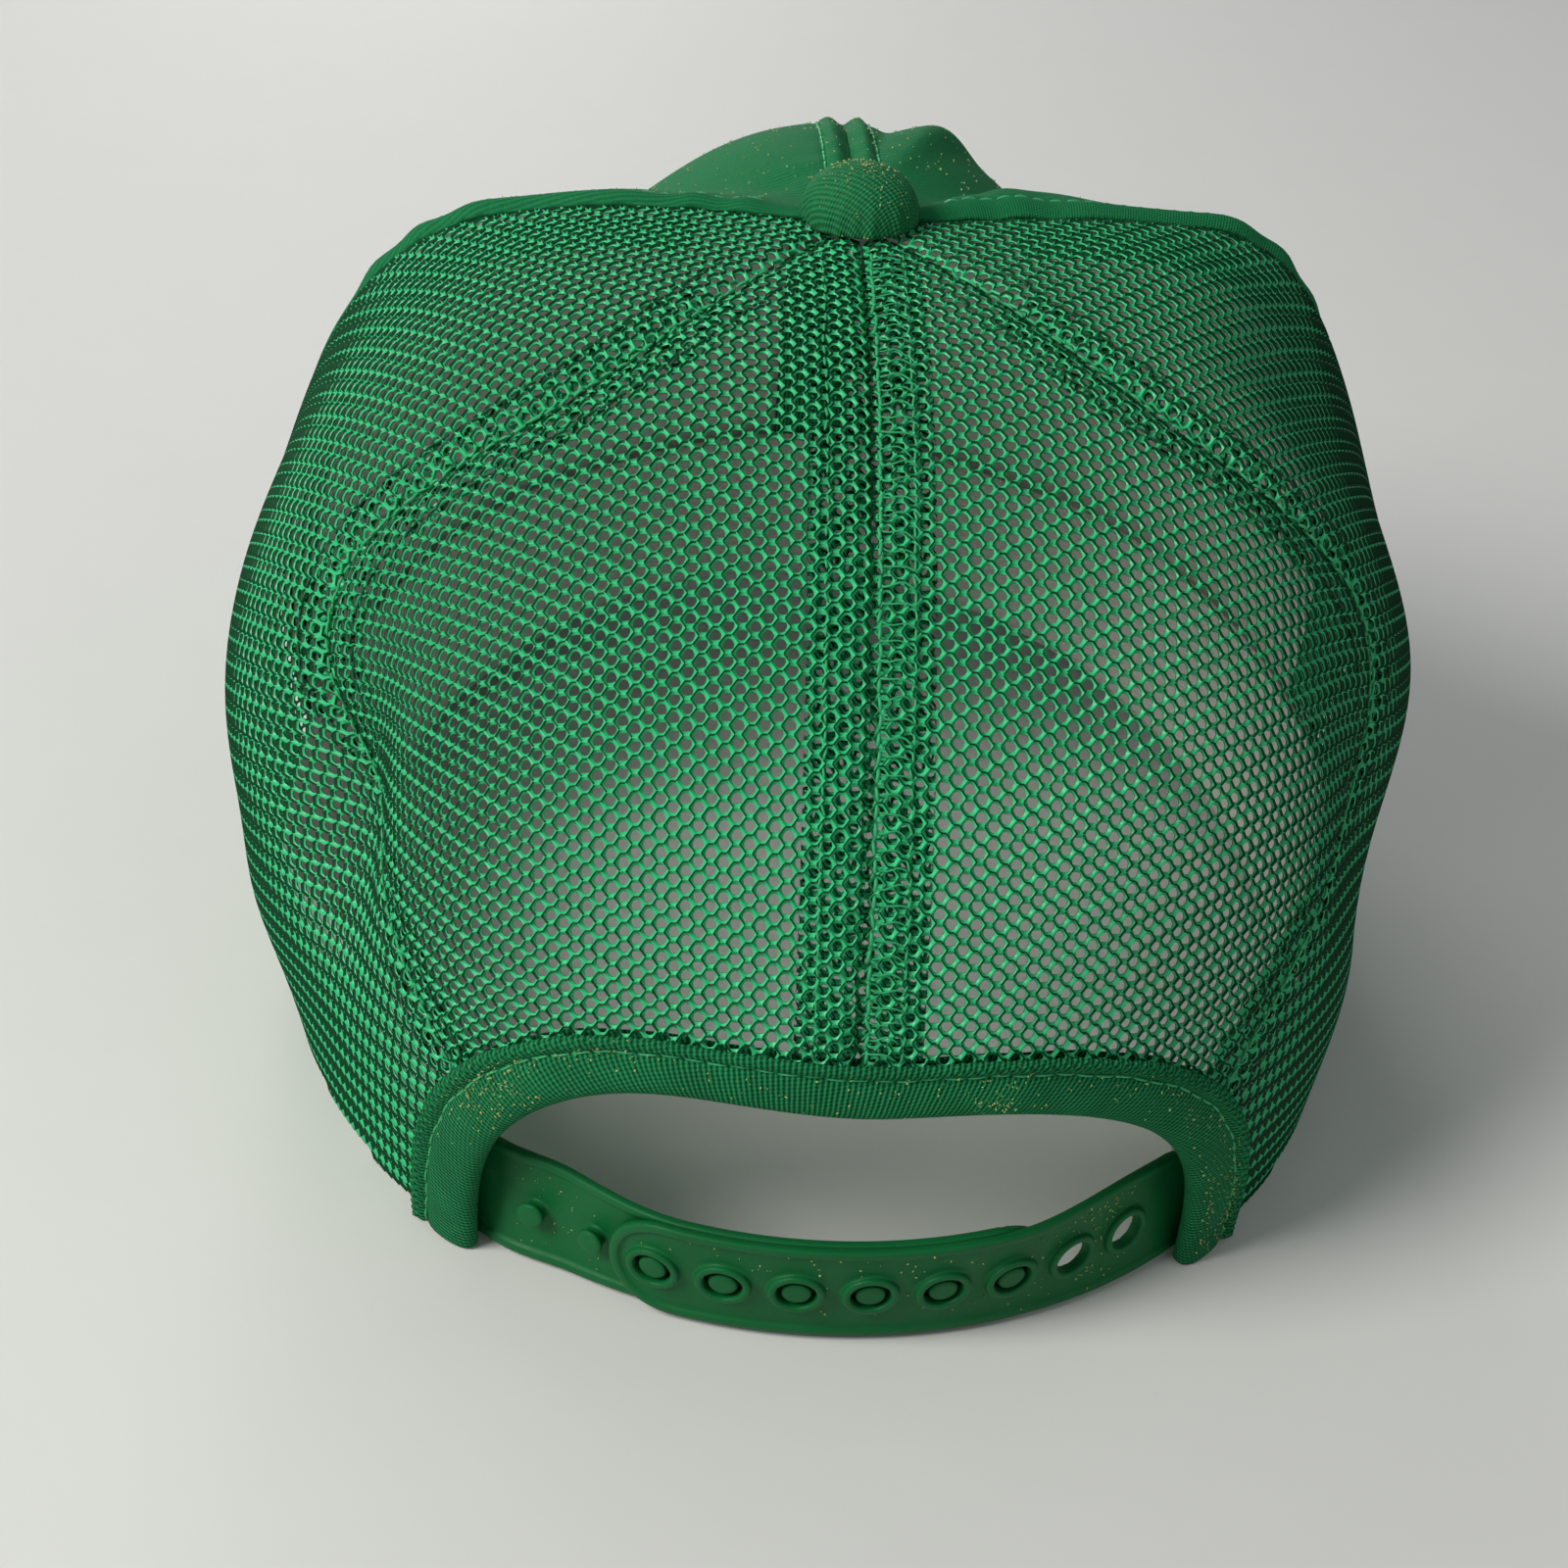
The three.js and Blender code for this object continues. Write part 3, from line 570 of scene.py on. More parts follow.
def net(name, azimuth, area, replaces, base_out=0.0, phase=(0.0, 0.0), dip=1.0, hand=1, turn=0.0):
    """A piece of knitted mesh: tiles whose middle is inside the area, settled onto its edges."""
    inside, settle = area
    knit = Knit(azimuth)
    turn = math.radians(turn)
    rotation = np.array([[math.cos(turn), math.sin(turn)], [-math.sin(turn), math.cos(turn)]])
    pivot = np.array([0.0, 80.0])

    def placed(flat):
        across, up = flat[..., 0], flat[..., 1]
        sway = np.stack([np.sin(up / 17 + across / 29), np.sin(across / 19 - up / 31)], -1)
        return (flat - pivot + 0.3 * sway) @ rotation + pivot

    i, j = (v.ravel() for v in np.meshgrid(np.arange(-100, 100), np.arange(-30, 100)))
    level = j + 0.5 * (i % 2)
    centres = np.stack([i * WALE + phase[0], level * COURSE + phase[1]], -1)
    kind = np.round(level + hand * i / 2).astype(int) % 2
    flat = placed(centres)
    keep = (np.abs(flat[:, 0]) < 112) & (flat[:, 1] > -COURSE) & (flat[:, 1] < knit.along[-1] + 25)
    centres, kind = centres[keep], kind[keep]
    keep = inside(*knit.angles(placed(centres)))
    centres, kind = centres[keep], kind[keep]

    border = (centres[:, None] + TILE).reshape(-1, 2)
    _, first, border_index = np.unique(
        np.round(border * 200).astype(int), axis=0, return_index=True, return_inverse=True,
    )
    border_index = border_index.reshape(-1, 8)
    shared = border[first]
    uneven = np.random.default_rng(3).normal(0, 0.03, (len(centres), 1, 2))
    openings = HOLES[kind] + uneven
    middle = (centres[:, None] + TILE * 0.86 + openings * 0.05).reshape(-1, 2)
    hole = (centres[:, None] + openings).reshape(-1, 2)
    edges = (RIDGES if hand > 0 else RIDGES[:, ::-1])[kind]
    ridge = np.zeros(len(shared))
    ridge[border_index[(edges + np.roll(edges, 1, axis=1)) > 0]] = 1

    flats = placed(np.concatenate([shared, middle, hole, hole, shared]))
    levels = np.concatenate([
        np.where(ridge > 0, RIDGE_HEIGHT, BAR_LEVEL), np.full(len(middle), BAR_LEVEL),
        np.full(len(hole), BAR_LEVEL - 0.08), np.full(len(hole), NET_BACK + 0.06),
        np.full(len(shared), NET_BACK),
    ])
    phi, psi = settle(*knit.angles(flats))
    sunk = dip * bell(seam_distance(phi, psi), 0, 1.5)
    points = on_crown(phi, psi, base_out + levels - sunk)

    count, ring = len(shared), len(middle)
    around = np.arange(8)
    after = (around + 1) % 8
    tile = np.arange(len(centres))[:, None]
    mid = count + tile * 8
    top = mid + ring
    low = top + ring
    back = border_index + count + 3 * ring
    quads = [
        np.stack([border_index[:, after], border_index[:, around], mid + around, mid + after], -1),
        np.stack([mid + after, mid + around, top + around, top + after], -1),
        np.stack([top + after, top + around, low + around, low + after], -1),
        np.stack([low + after, low + around, back[:, around], back[:, after]], -1),
    ]
    plain = np.zeros(8 * len(centres), int)
    # Faces on the raised thread's sides take the dark material (darker thread and painted shadow); the hole
    # walls, plain + 1, take it as painted shade inside the holes.
    tones = [edges.reshape(-1), plain, plain + 1, plain]
    faces = np.concatenate([q.reshape(-1, 4) for q in quads])

    # Close the outer edge between the front and the back of the net.
    a = border_index[:, around].reshape(-1)
    b = border_index[:, after].reshape(-1)
    key = np.minimum(a, b) * 10_000_000 + np.maximum(a, b)
    _, where, uses = np.unique(key, return_index=True, return_counts=True)
    lone = where[uses == 1]
    a, b = a[lone], b[lone]
    lift = count + 3 * ring
    faces = np.concatenate([faces, np.stack([a, b, b + lift, a + lift], -1)])
    tones = np.concatenate(tones + [np.zeros(len(lone), int)])

    # Tiles squeezed flat against an edge lose their empty faces.
    corners = points[faces]
    size = np.linalg.norm(np.cross(corners[:, 2] - corners[:, 0], corners[:, 3] - corners[:, 1]), axis=1)
    real = size > 0.002
    used, faces = np.unique(faces[real], return_inverse=True)
    shape = points[used], faces.reshape(-1, 4)
    build(name, shape, [NET_BAR, NET_RIDGE_AND_SHADE], replaces, tones=tones[real])


def between(left, right, gap=0.15):
    """inside and settle functions of a mesh panel between two seams, above the rear opening."""
    def limits(psi):
        radius = np.maximum(np.cos(psi) * 115, 5)
        return left(psi) + gap / radius, right(psi) - gap / radius

    def inside(phi, psi):
        low, high = limits(psi)
        p = crown(phi, np.clip(psi, 0, APEX))
        return (phi > low) & (phi < high) & (psi > 0.012) & (psi < APEX) & ~inside_arch(p, 2.4)

    def settle(phi, psi):
        psi = np.clip(psi, 0.003, APEX)
        low, high = limits(psi)
        return np.clip(phi, low, high), psi

    return inside, settle


def along_seam(seam, half_width, low, high):
    """inside and settle functions of the turned-in double layer along a seam, between two elevations."""
    low, high = math.radians(low), math.radians(high)

    def offset(phi, psi):
        radius = np.maximum(np.hypot(*np.moveaxis(crown(phi, psi)[..., :2], -1, 0)), 4)
        return (phi - seam(psi)) * radius, radius

    def inside(phi, psi):
        psi_in = np.clip(psi, 0, APEX)
        d, _ = offset(phi, psi_in)
        opening = inside_arch(crown(phi, psi_in), BINDING_WIDTH - 1)
        return (np.abs(d) < half_width) & (psi > low) & (psi < high) & ~opening

    def settle(phi, psi):
        psi = np.clip(psi, low, high)
        d, radius = offset(phi, psi)
        return seam(psi) + np.clip(d, -half_width, half_width) / radius, psi

    return inside, settle


def make_nets():
    for side, sign in (("left", 1), ("right", -1)):
        seam = rear_side if sign > 0 else mirrored(rear_side)
        rear = (seam, rear_centre) if sign > 0 else (rear_centre, seam)
        flank = (front_side, seam) if sign > 0 else (seam, mirrored(front_side))
        net(f"rear_net_{side}", math.pi, between(*rear), [f"rear_mesh_{side}"], hand=sign)
        net(f"side_net_{side}", math.radians(180 - 55 * sign), between(*flank), [f"side_mesh_{side}"],
            hand=sign, turn=43 * sign)
        net(f"side_fold_{side}", math.radians(180 - 41 * sign), along_seam(seam, 6.0, 16, 76),
            [f"rear_side_seam_{side}"], -1.0, (0.7, 0.9), 0.6, -sign)
    for name, depth, phase, turn in (
        ("centre_fold", -0.95, (0.4, 0.6), 0), ("centre_fold_under", -1.7, (0, 0), 14),
    ):
        net(name, math.pi, along_seam(rear_centre, 8.3, 20, 84), ["rear_centre_seam"],
            depth, phase, 0.6, -1, turn)


# ---- woven front, linings and tapes -------------------------------------------------------------
def smooth(x, a, b):
    t = np.clip((x - a) / (b - a), 0, 1)
    return t * t * (3 - 2 * t)


def radius_at(phi, psi):
    p = crown(phi, psi)
    return np.maximum(np.hypot(p[..., 0], p[..., 1]), 1.5)


def shell(name, phi, psi, outer, inner, material, replaces=(), base=None):
    """Closed shell of cloth between two heights over the crown, its lower edge at height `base`."""
    across = phi * radius_at(phi, psi)
    cloth = np.stack([across, run(crown(phi, psi)), 0 * across], -1)
    top, under = on_crown(phi, psi, outer), on_crown(phi, psi, inner)
    if base is not None:
        top[0, :, 2] = under[0, :, 2] = base
    build(name, slab(top, under), [material], replaces, np.concatenate([cloth, cloth]))


def front_grid(sign, gap, columns, rows):
    u = np.linspace(0, 1, columns)[None]
    v = np.linspace(0, 1, rows)[:, None]
    low = rim_angle(u * front_side(0.2))
    psi = low + v * (APEX - low)
    inset = gap / radius_at(front_side(psi), psi)
    phi = inset + (front_side(psi) - 2 * inset) * u
    if sign < 0:
        return -phi[:, ::-1], psi[:, ::-1]
    return phi, psi


def front_relief(phi, psi):
    """Twin ridges along the centre seam, a pressed edge along the side seam, and puckers beside both."""
    radius = radius_at(phi, psi)
    centre = np.abs(phi) * radius
    edge = (front_side(psi) - np.abs(phi)) * radius
    up = np.degrees(psi)
    hem = (psi - rim_angle(phi)) * 95
    centre_seam = 0.8 * bell(centre, 2.3, 1.3) - 0.6 * bell(centre, 0, 0.9) - 0.3 * bell(centre, 4.0, 0.5)
    side_seam = 0.5 * bell(edge, 2.2, 1.4) - 0.6 * bell(edge, 0, 0.8) - 0.25 * bell(edge, 3.4, 0.35)
    puckers = 0.32 * np.sin(up * 1.15 + 2.2 * np.sin(up * 0.31)) * np.exp(-(edge / 9))
    puckers += 0.22 * np.sin(up * 1.6 + 1.7 * np.sin(up * 0.4)) * np.exp(-(centre / 6))
    puckers += 0.5 * np.sin(edge / 7 + up / 9) * bell(edge, 14, 11) * np.clip(up / 30, 0, 1)
    lower_edge = 0.5 * bell(hem, 0, 0.6) + 0.3 * bell(hem, 6.0, 0.4)
    return (centre_seam + side_seam + puckers - lower_edge) * np.clip((88 - up) / 6, 0, 1)


def raised_relief(phi, psi):
    """Height of the front's stitches over the crown."""
    return front_relief(phi, psi) + 0.1


def seam_path(seam, offset, low, high, out):
    """Points and normals along a seam, `offset` millimetres beside it, from `low` to `high` degrees."""
    low, high = math.radians(low), math.radians(high)
    psi = np.linspace(low, high, int(math.degrees(high - low) * 2.5))
    phi = seam(psi) + offset / radius_at(seam(psi), psi)
    height = out(phi, psi) if callable(out) else out
    return on_crown(phi, psi, height), crown_normal(phi, psi)


def seam_strip(name, seam, low, high, node):
    """Seam tape inside the crown, from `low` to `high` degrees."""
    u = np.linspace(-TAPE["half_width"], TAPE["half_width"], 13)[None]
    psi = np.radians(np.linspace(low, high, 70))[:, None] + 0 * u
    phi = seam(psi) + u / radius_at(seam(psi), psi)
    outer = -TAPE["depth"]
    shell(name, phi, psi, outer, outer - TAPE["thickness"], SEAM_TAPE, [node])


def make_front():
    threads = []
    for side, sign in (("left", 1), ("right", -1)):
        phi, psi = front_grid(sign, 0.04, 140, 170)
        shell(f"front_cloth_{side}", phi, psi, front_relief(phi, psi), -0.95, TWILL,
              [f"front_panel_{side}"])
        phi, psi = front_grid(sign, 0.8, 60, 60)
        shell(f"front_foam_{side}", phi, psi, -1.4, -3.1, FOAM, [f"front_backing_{side}"])
        seam = front_side if sign > 0 else negated(front_side)
        seam_strip(f"side_tape_{side}", seam, 22, 79, f"side_seam_tape_{side}")
        for line, offset, low, high in ((front_centre, 4.0, 12.5, 85), (seam, -3.4, 3, 84)):
            path, normals = seam_path(line, offset * sign, low, high, raised_relief)
            threads.append(stitches(path, normals, 2.6, 2.1, 0.22))
    seam_strip("front_tape", front_centre, 24, 84, "front_seam_tape")
    build("front_stitches", merge(threads), [THREAD])


def make_sweatband():
    columns, rows = 320, 16
    height = np.linspace(0, SWEATBAND["height"], rows)[:, None]
    power, grow = ARCH["fullness"], 2.6
    fall = (height[:, 0] / (ARCH["height"] + grow)) ** power
    end, _ = rear_angles(
        (ARCH["half_width"] + grow) * (1 - fall) ** (1 / power), np.maximum(height[:, 0], 0.5),
    )
    phi = end[:, None] * np.linspace(-1, 1, columns)[None]
    psi = np.arctan2(rim_height(phi) + height, rim_radius(phi))
    edges = 0.35 * bell(height, 0, 0.7) + 0.35 * bell(height, SWEATBAND["height"], 0.7)
    relief = 0.12 * np.sin(phi * 40) * np.sin(height / 6) - 0.3 * bell(height, 2.2, 0.35) - edges
    outer = -SWEATBAND["depth"]
    shell("sweatband_cloth", phi, psi, outer, outer - SWEATBAND["thickness"] - relief, SWEAT_CLOTH,
          ["sweatband"], base=rim_height(phi[0]))


# ---- binding of the rear opening ----------------------------------------------------------------
# Round the folded tape: distance above the opening's edge, and height over the crown.
BINDING_PROFILE = [
    (7.65, 0.5), (7.95, 0.95), (7.8, 1.45), (7.4, 1.78), (6.9, 1.84), (6.4, 1.58), (6.12, 1.2),
    (5.9, 0.98), (5.65, 1.16), (5.2, 1.4), (4.4, 1.56), (3.5, 1.6), (2.7, 1.58), (1.9, 1.5), (1.2, 1.34),
    (0.6, 1.02), (0.15, 0.5), (0.0, -0.2), (0.1, -0.9), (0.45, -1.5), (1.2, -1.92), (2.6, -2.05),
    (5.0, -2.05), (7.4, -2.05), (7.7, -1.85), (7.5, -1.6), (4.4, -1.55), (1.5, -1.5), (1.1, -0.55),
    (1.5, 0.4), (4.4, 0.43), (7.3, 0.45),
]


def binding_points(turn, grow, out):
    x, z = arch_outline(turn, grow)
    phi, psi = rear_angles(x, np.maximum(z, 0.02))
    return on_crown(phi, psi, out), crown_normal(phi, psi)


def arch_turns(count):
    """Turns about the arch at equal steps along its outline, and the steps."""
    fine = np.linspace(math.radians(0.4), math.pi - math.radians(0.4), 3000)
    along = run(np.stack(arch_outline(fine, 4.0), -1))
    even = np.linspace(0, along[-1], count)
    return np.interp(even, along, fine), even


def make_binding():
    turn, along = arch_turns(560)
    length = along[:, None]
    profile = np.array(BINDING_PROFILE)
    grow = profile[:, 0] + 0 * length
    out = profile[:, 1] + 0 * length
    outer_face = out > 0.6
    rolled = smooth(grow, 6.0, 6.9) * outer_face
    puckered = smooth(grow, 0.5, 2.6) * (1 - smooth(grow, 4.2, 5.8)) * outer_face
    out = out + rolled * 0.2 * np.sin(TAU * (length + grow * 0.9) / 1.3)
    out = out + puckered * (0.1 * np.sin(length / 3.1) + 0.07 * np.sin(length / 1.4 + grow * 0.5))
    ragged = 0.07 * np.sin(length / 1.9) * smooth(grow, 7.3, 7.7)
    grow = grow + 0.22 * np.sin(length / 17) * smooth(grow, 3.5, 7.6) + ragged
    points, _ = binding_points(turn[:, None] + 0 * grow, grow, out)
    cloth = np.stack([length + 0 * grow, run(profile) + 0 * grow, 0 * grow], -1)
    build("rear_binding", inside_out(swept(points)), [BINDING_TAPE],
          ["rear_arch_binding"], cloth)
    turn, _ = arch_turns(260)
    path, normals = binding_points(turn, 5.9 + 0.1 * np.sin(turn * 40), 1.1)
    build("binding_stitches", stitches(path, normals, 3.0, 2.7, 0.2), [THREAD])


# ---- seams of the knitted back ------------------------------------------------------------------
def thread(line, normals, radius):
    """One thread along a line of points."""
    direction = np.gradient(line, axis=0)
    direction /= np.linalg.norm(direction, axis=1, keepdims=True)
    side = np.cross(direction, normals)
    side /= np.linalg.norm(side, axis=1, keepdims=True)
    up = np.cross(side, direction)
    turn = turns(5)[None, :, None]
    return swept(line[:, None] + radius * (side[:, None] * np.cos(turn) + up[:, None] * np.sin(turn)))


def make_seam_threads():
    light, dark = [], []
    low, high = 28, 85
    for offset, height, length, radius, wander in (
        (0.9, 0.15, 2.0, 0.26, 0.16), (-5.8, 0.0, 1.7, 0.19, 0.2), (5.4, 0.0, 1.7, 0.19, 0.2),
    ):
        path, normals = seam_path(rear_centre, offset, low, high, height)
        light.append(stitches(path, normals, COURSE, length, radius, wander))
    # Slanting loops that join the middle row to the one beside it.
    psi = np.arange(math.radians(low), math.radians(high), COURSE / REAR_ARC)
    for start in psi[:-1]:
        reach = np.linspace(0, 1, 9)
        fall = rng.uniform(0.7, 1.6) * reach**1.6
        fall = fall + rng.uniform(0.2, 0.55) * np.sin(reach * TAU * 0.9 + rng.uniform(0, 1.2))
        rise = start - fall / REAR_ARC
        phi = np.pi + (0.9 + rng.uniform(3.9, 5.0) * reach) / radius_at(math.pi, rise)
        height = 0.1 + rng.uniform(0.15, 0.35) * np.sin(reach * math.pi)
        line = on_crown(phi, rise, height)
        light.append(thread(line, crown_normal(phi, rise), rng.uniform(0.11, 0.16)))
    low, high, height = 20, 80, -0.05
    for seam, sign in ((rear_side, 1), (mirrored(rear_side), -1)):
        for rows, offset, radius in ((dark, -5.2, 0.2), (dark, 5.2, 0.2), (light, 0.8 * sign, 0.22)):
            path, normals = seam_path(seam, offset, low, high, height)
            rows.append(stitches(path, normals, COURSE, 1.9, radius, 0.15))
    build("seam_threads", merge(light), [THREAD])
    build("seam_threads_dark", merge(dark), [DARK_THREAD])


# ---- snap strap ---------------------------------------------------------------------------------
def strap_point(along, up, out):
    along, up, out = (np.asarray(a, float) for a in (along, up, out))
    theta = along / STRAP["radius"]
    lean = STRAP["lean"] * np.cos(theta) ** 2 * (1 - smooth(np.abs(along), 20, 46))
    lean = lean + STRAP["tab_lean"] * smooth(np.abs(along), 49, 58)
    radius = STRAP["radius"] + lean * up + out
    x, y = radius * np.sin(theta), STRAP["centre_y"] + radius * np.cos(theta)
    return np.stack([x, y, STRAP["bottom"] + up], -1)


def strap_outline(end, tip, inset):
    """Outline of one half of the strap, square at `end` and round at `tip`."""
    toward = math.copysign(1, tip - end)
    half = STRAP["height"] / 2
    centre = tip - toward * half
    arc = [(centre + toward * (half - inset) * math.sin(a), half - (half - inset) * math.cos(a))
           for a in np.linspace(0, math.pi, 41)]
    stations = np.linspace(end + toward * inset, centre, 60)[:-1]
    lower = [(x, inset) for x in stations]
    upper = [(x, 2 * half - inset) for x in stations[::-1]]
    loop = lower + arc + upper
    return loop if toward > 0 else loop[::-1]


def circle(x, y, r):
    turn = turns(40)
    return np.stack([x + r * np.cos(turn), y + r * np.sin(turn)], -1)


def extruded(loops, low, high):
    """Closed plate from an outline and its holes."""
    triangles = tessellate_polygon([[Vector((x, y, 0)) for x, y in loop] for loop in loops])
    ring = np.concatenate(loops)
    count = len(ring)
    points = np.concatenate([np.column_stack([ring, np.full(count, z)]) for z in (high, low)])
    faces = []
    for a, b, c in triangles:
        (ux, uy), (vx, vy) = ring[b] - ring[a], ring[c] - ring[a]
        if ux * vy - uy * vx < 0:
            b, c = c, b
        faces += [(a, b, c), (a + count, c + count, b + count)]
    start = 0
    for loop in loops:
        i = start + np.arange(len(loop))
        j = np.roll(i, -1)
        faces += [tuple(f) for f in np.stack([i, i + count, j + count, j], -1)]
        start += len(loop)
    return points, faces


def squared(value):
    return np.copysign(np.abs(value) ** 0.72, value)


def ring_tube(path, width, height, level):
    """Closed tube of rounded oblong section along a flat closed path."""
    path, turn = np.array(path), turns(16)
    ahead = np.roll(path, -1, axis=0) - np.roll(path, 1, axis=0)
    ahead /= np.linalg.norm(ahead, axis=1, keepdims=True)
    side = np.stack([ahead[:, 1], -ahead[:, 0]], -1)
    flat = path[:, None] + side[:, None] * (width * squared(np.cos(turn)))[:, None]
    rise = level + height * squared(np.sin(turn)) + 0 * flat[..., 0]
    points = np.concatenate([flat, rise[..., None]], -1).reshape(-1, 3)
    return points, grid_faces(len(turn), len(path) + 1, True) % len(points)


def turned_pin(x, y, profile):
    turn = turns(28)
    return swept(np.array([
        np.stack([x + r * np.cos(turn), y + r * np.sin(turn), h + 0 * turn], -1) for r, h in profile
    ]))


def moulding(name, parts):
    """One moulded skin round overlapping solids, still flat; returns its points and faces."""
    points, faces = merge(parts)
    mesh = bpy.data.meshes.new(name)
    mesh.from_pydata(points.tolist(), [], faces)
    o = bpy.data.objects.new(name, mesh)
    bpy.context.scene.collection.objects.link(o)
    remesh = o.modifiers.new("skin", "REMESH")
    remesh.mode = "VOXEL"
    remesh.voxel_size = 0.22
    soften = o.modifiers.new("soften", "SMOOTH")
    soften.factor = 0.5
    soften.iterations = 2
    done = o.evaluated_get(bpy.context.evaluated_depsgraph_get()).to_mesh()
    skin = np.array([v.co for v in done.vertices])
    quads = [tuple(p.vertices) for p in done.polygons]
    o.to_mesh_clear()
    bpy.data.objects.remove(o)
    bpy.data.meshes.remove(mesh)
    return skin, quads


def make_strap(name, parts, step, replaces):
    points, faces = moulding(name, parts)
    along, up, out = points.T
    bent = strap_point(along, up, out + step(along))
    o = build(name, (bent, faces), [STRAP_PLASTIC], replaces, body=None)
    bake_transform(o)


def pin_step(along):
    """The strap half with pins lies inside the other half."""
    return -PIN_STRAP_STEP * (1 - smooth(along, 37, 49))


def make_straps():
    half = STRAP["height"] / 2
    first_pin = SNAPS["first_hole"] + (SNAPS["count"] - SNAPS["engaged"]) * SNAPS["pitch"]
    pins = [first_pin - k * SNAPS["pitch"] for k in range(SNAPS["count"])]
    pin = [
        (1.7, 0.3), (1.6, 0.9), (1.5, 1.2), (1.5, 2.0), (1.95, 2.35), (1.95, 2.8), (1.65, 3.05), (0.8, 3.1),
    ]

    end, tip = -STRAP["tab_end"], SNAPS["first_hole"] + 6.5
    loops = [strap_outline(end, tip, 0.15)] + [circle(x, half, 2.55) for x in HOLE_PLACES]
    parts = [extruded(loops, 0.0, 0.9), ring_tube(strap_outline(end, tip, 0.85), 0.85, 0.72, 0.72)]
    parts += [ring_tube(circle(x, half, 3.15), 0.58, 0.78, 1.15) for x in HOLE_PLACES]
    make_strap("strap_holes", parts, lambda a: 0 * a,
               ["strap_hole_tab", "strap_with_holes"])

    end, tip = STRAP["tab_end"], pins[-1] - 6
    loops = [strap_outline(end, tip, 0.15)]
    parts = [extruded(loops, 0.0, 0.85), ring_tube(strap_outline(end, tip, 0.85), 0.85, 0.72, 0.72)]
    parts += [turned_pin(x, half, pin) for x in pins]
    make_strap("strap_pins", parts, pin_step, ["strap_pin_tab", "strap_with_pins"])


# ---- button and visor ---------------------------------------------------------------------------
def make_button():
    rows, columns = 46, 168
    turn = turns(columns)[None]
    t = np.linspace(0.03, 1.0, rows)[:, None]
    angle = t * math.pi / 2
    folds = 0.2 * np.sin(9 * turn + 2 * np.sin(3 * turn)) + 0.12 * np.sin(23 * turn)
    gather = smooth(t, 0.45, 1.0) * folds * (0.55 + 0.45 * np.sin(turn + 0.6))
    r = BUTTON["radius"] * np.sin(angle) + gather
    z = BUTTON["height"] * np.cos(angle) ** 0.8 + gather * 0.4 * (1 - t)
    # The turned-under hem: share of the radius, height, and place on the flat cloth.
    hem = [(0.97, -0.25, 1.04), (0.9, -0.42, 1.1), (0.6, -0.42, 1.4)]
    r = np.concatenate([r] + [k * r[-1:] for k, _, _ in hem])
    z = np.concatenate([z] + [0 * z[-1:] + h for _, h, _ in hem])
    base = CROWN_HEIGHT + BUTTON["lift"] + 0.1
    points = np.stack([r * np.cos(turn), r * np.sin(turn), base + z], -1)
    reach = np.concatenate([t] + [[[k]] for _, _, k in hem]) * BUTTON["radius"] * 1.25
    cloth = np.stack([reach * np.cos(turn), reach * np.sin(turn), 0 * reach + 0 * turn], -1)
    build("button_cloth", inside_out(swept(points)), [BUTTON_TWILL], ["button_cover"], cloth)


def visor_point(u, v, depth):
    """A point across (u, -1 to 1) and out along (v, 0 to 1) the visor, `depth` below its top."""
    u, v, depth = np.broadcast_arrays(*(np.asarray(a, float) for a in (u, v, depth)))
    phi = math.radians(VISOR["root_angle"]) * u
    edge = math.pi / 2 * u
    power = 2 / VISOR["fullness"]
    outer_x = VISOR["half_width"] * np.sign(u) * np.abs(np.sin(edge)) ** power
    outer_y = VISOR["centre_y"] - VISOR["reach"] * np.abs(np.cos(edge)) ** power
    root = crown(phi, np.arctan2(rim_height(phi) + 2, rim_radius(phi)))[..., :2]
    root = root * (1 + VISOR["root_gap"] / np.linalg.norm(root, axis=-1, keepdims=True))
    x = root[..., 0] + (outer_x - root[..., 0]) * v
    y = root[..., 1] + (outer_y - root[..., 1]) * v
    z = VISOR["height"] - VISOR["droop"] * x * x + VISOR["pitch"] * (y + HEAD_HALF_LENGTH)
    return np.stack([x, y, z - depth], -1)


def make_visor():
    u = np.linspace(-1, 1, 260)[None]
    v = np.concatenate([np.linspace(0, 0.94, 40), np.linspace(0.945, 1, 16)])[:, None]
    middle = VISOR["thickness"] / 2
    rows = [0.30, 0.42, 0.54, 0.66, 0.78, 0.90]
    rim = np.maximum(np.clip((v - 0.955) / 0.045, 0, 1), np.clip((np.abs(u) - 0.975) / 0.025, 0, 1))
    groove = sum(0.25 * bell(v, row, 0.006) for row in rows)
    outside = middle * np.sqrt(np.maximum(1 - rim**2, 0)) - groove
    inside = np.maximum(outside - 0.8, 0.02)
    for name, sign, node, slot, material in (
        ("visor_top", -1, "visor_top_cover", "crown_twill", TWILL),
        ("visor_under", 1, "visor_under_cover", "visor_lining", LINING_TWILL),
    ):
        outer, inner = (visor_point(u, v, middle + sign * side)[::-1] for side in (outside, inside))
        shape = slab(outer, inner) if sign < 0 else slab(inner, outer)
        build(name, shape, [material], [node], np.concatenate([outer, outer]) * (1, 1, 0))
    threads = []
    for row in rows:
        for sign in (-1, 1):
            path = visor_point(np.linspace(-0.95, 0.95, 160), row, middle + sign * (middle - 0.12))
            normals = np.tile([0.0, 0.0, -float(sign)], (len(path), 1))
            threads.append(stitches(path, normals, 3.0, 2.5, 0.24))
    build("visor_stitches", merge(threads), [THREAD])


